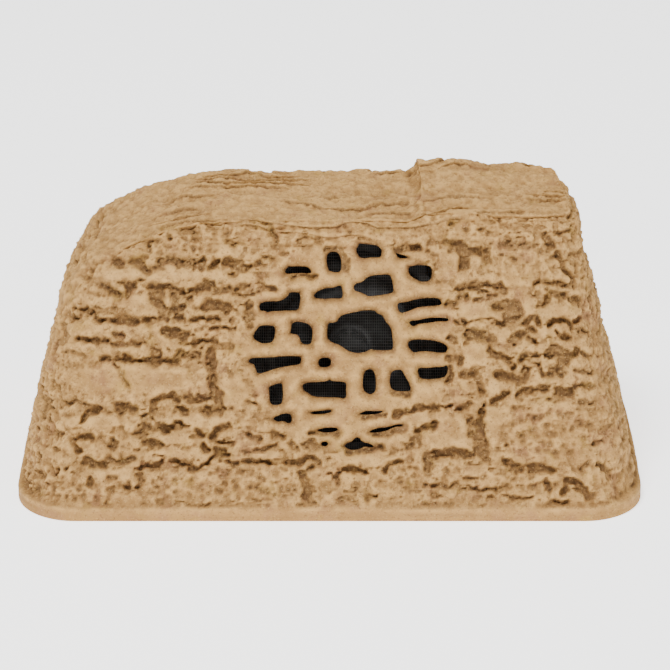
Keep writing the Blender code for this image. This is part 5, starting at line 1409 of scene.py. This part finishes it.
def dress_cad_nodes(finishes):
    """Every CAD node that still shows gets its finish."""
    for name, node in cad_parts.items():
        if node.hide_render:
            continue
        slot = next(s for s, starts in NODES_OF.items() if name.startswith(starts))
        node.data.materials.clear()
        node.data.materials.append(finishes[slot])


# ---------------------------------------------------------------- floor, light and camera


def make_floor():
    make = Nodes("pale_floor")
    shade = make.ranged(make.noise(900, 2), 0.3, 0.7, 0, 1)
    make.link(make.mix(shade, linear(250, 250, 249), linear(253, 253, 252)), "Base Color")
    make.set(Roughness=0.9, Specular_IOR_Level=0.1)
    make.set(Emission_Color=(1, 1, 1, 1), Emission_Strength=FLOOR_GLOW)
    half = 6000.0
    corners = [(-half, -half, 0), (half, -half, 0), (half, half, 0), (-half, half, 0)]
    mesh = mesh_from("studio_floor", corners, [(0, 1, 2, 3)])
    mesh.materials.append(make.material)
    floor = linked("studio_floor", mesh)
    floor.location.z = -0.2 * MM


def make_light(name, place, size, power):
    """A soft square light that looks at the middle of the rock."""
    lamp = bpy.data.lights.new(name, "AREA")
    lamp.shape = "SQUARE"
    lamp.size = size
    lamp.energy = power
    made = linked(name, lamp)
    middle = (CAD_BOX[0] + CAD_BOX[1]) / 2
    made.location = middle + Vector(place)
    made.rotation_euler = (middle - made.location).to_track_quat("-Z", "Y").to_euler()


def make_world():
    world = bpy.data.worlds.new("studio")
    world.use_nodes = True
    background = world.node_tree.nodes["Background"]
    background.inputs["Color"].default_value = (1, 1, 1, 1)
    background.inputs["Strength"].default_value = WORLD_LIGHT
    bpy.context.scene.world = world


def make_camera():
    """Square on to the front face, far off, with the rock a little left of the middle."""
    distance, shown_width, sensor = 2200.0, 415.4, 36.0
    right, up = -9.0, 7.1
    camera = bpy.data.cameras.new("camera")
    camera.sensor_width = sensor
    camera.lens = sensor * distance / shown_width
    made = linked("camera", camera)
    place = FACE_ORIGIN + right * np.array([1, 0, 0]) + up * UP_FACE + distance * OUT_OF_FACE
    made.location = Vector(place) * MM
    made.rotation_euler = (math.pi / 2 - FACE_TILT, 0, 0)
    bpy.context.scene.camera = made


# ---------------------------------------------------------------- the whole scene

finishes = make_finishes()
make_shell(finishes["sandstone"])
make_screen(finishes["black_mesh"])
make_surround(finishes["rubber"])
make_spider(finishes["spider_cloth"])
make_tweeter_surround(finishes["silk"])
make_leads(finishes["braid"])
make_wadding(finishes["wadding"])
dress_cad_nodes(finishes)
make_floor()
for light, (place, size, power) in LIGHTS.items():
    make_light(light, place, size, power)
make_world()
make_camera()
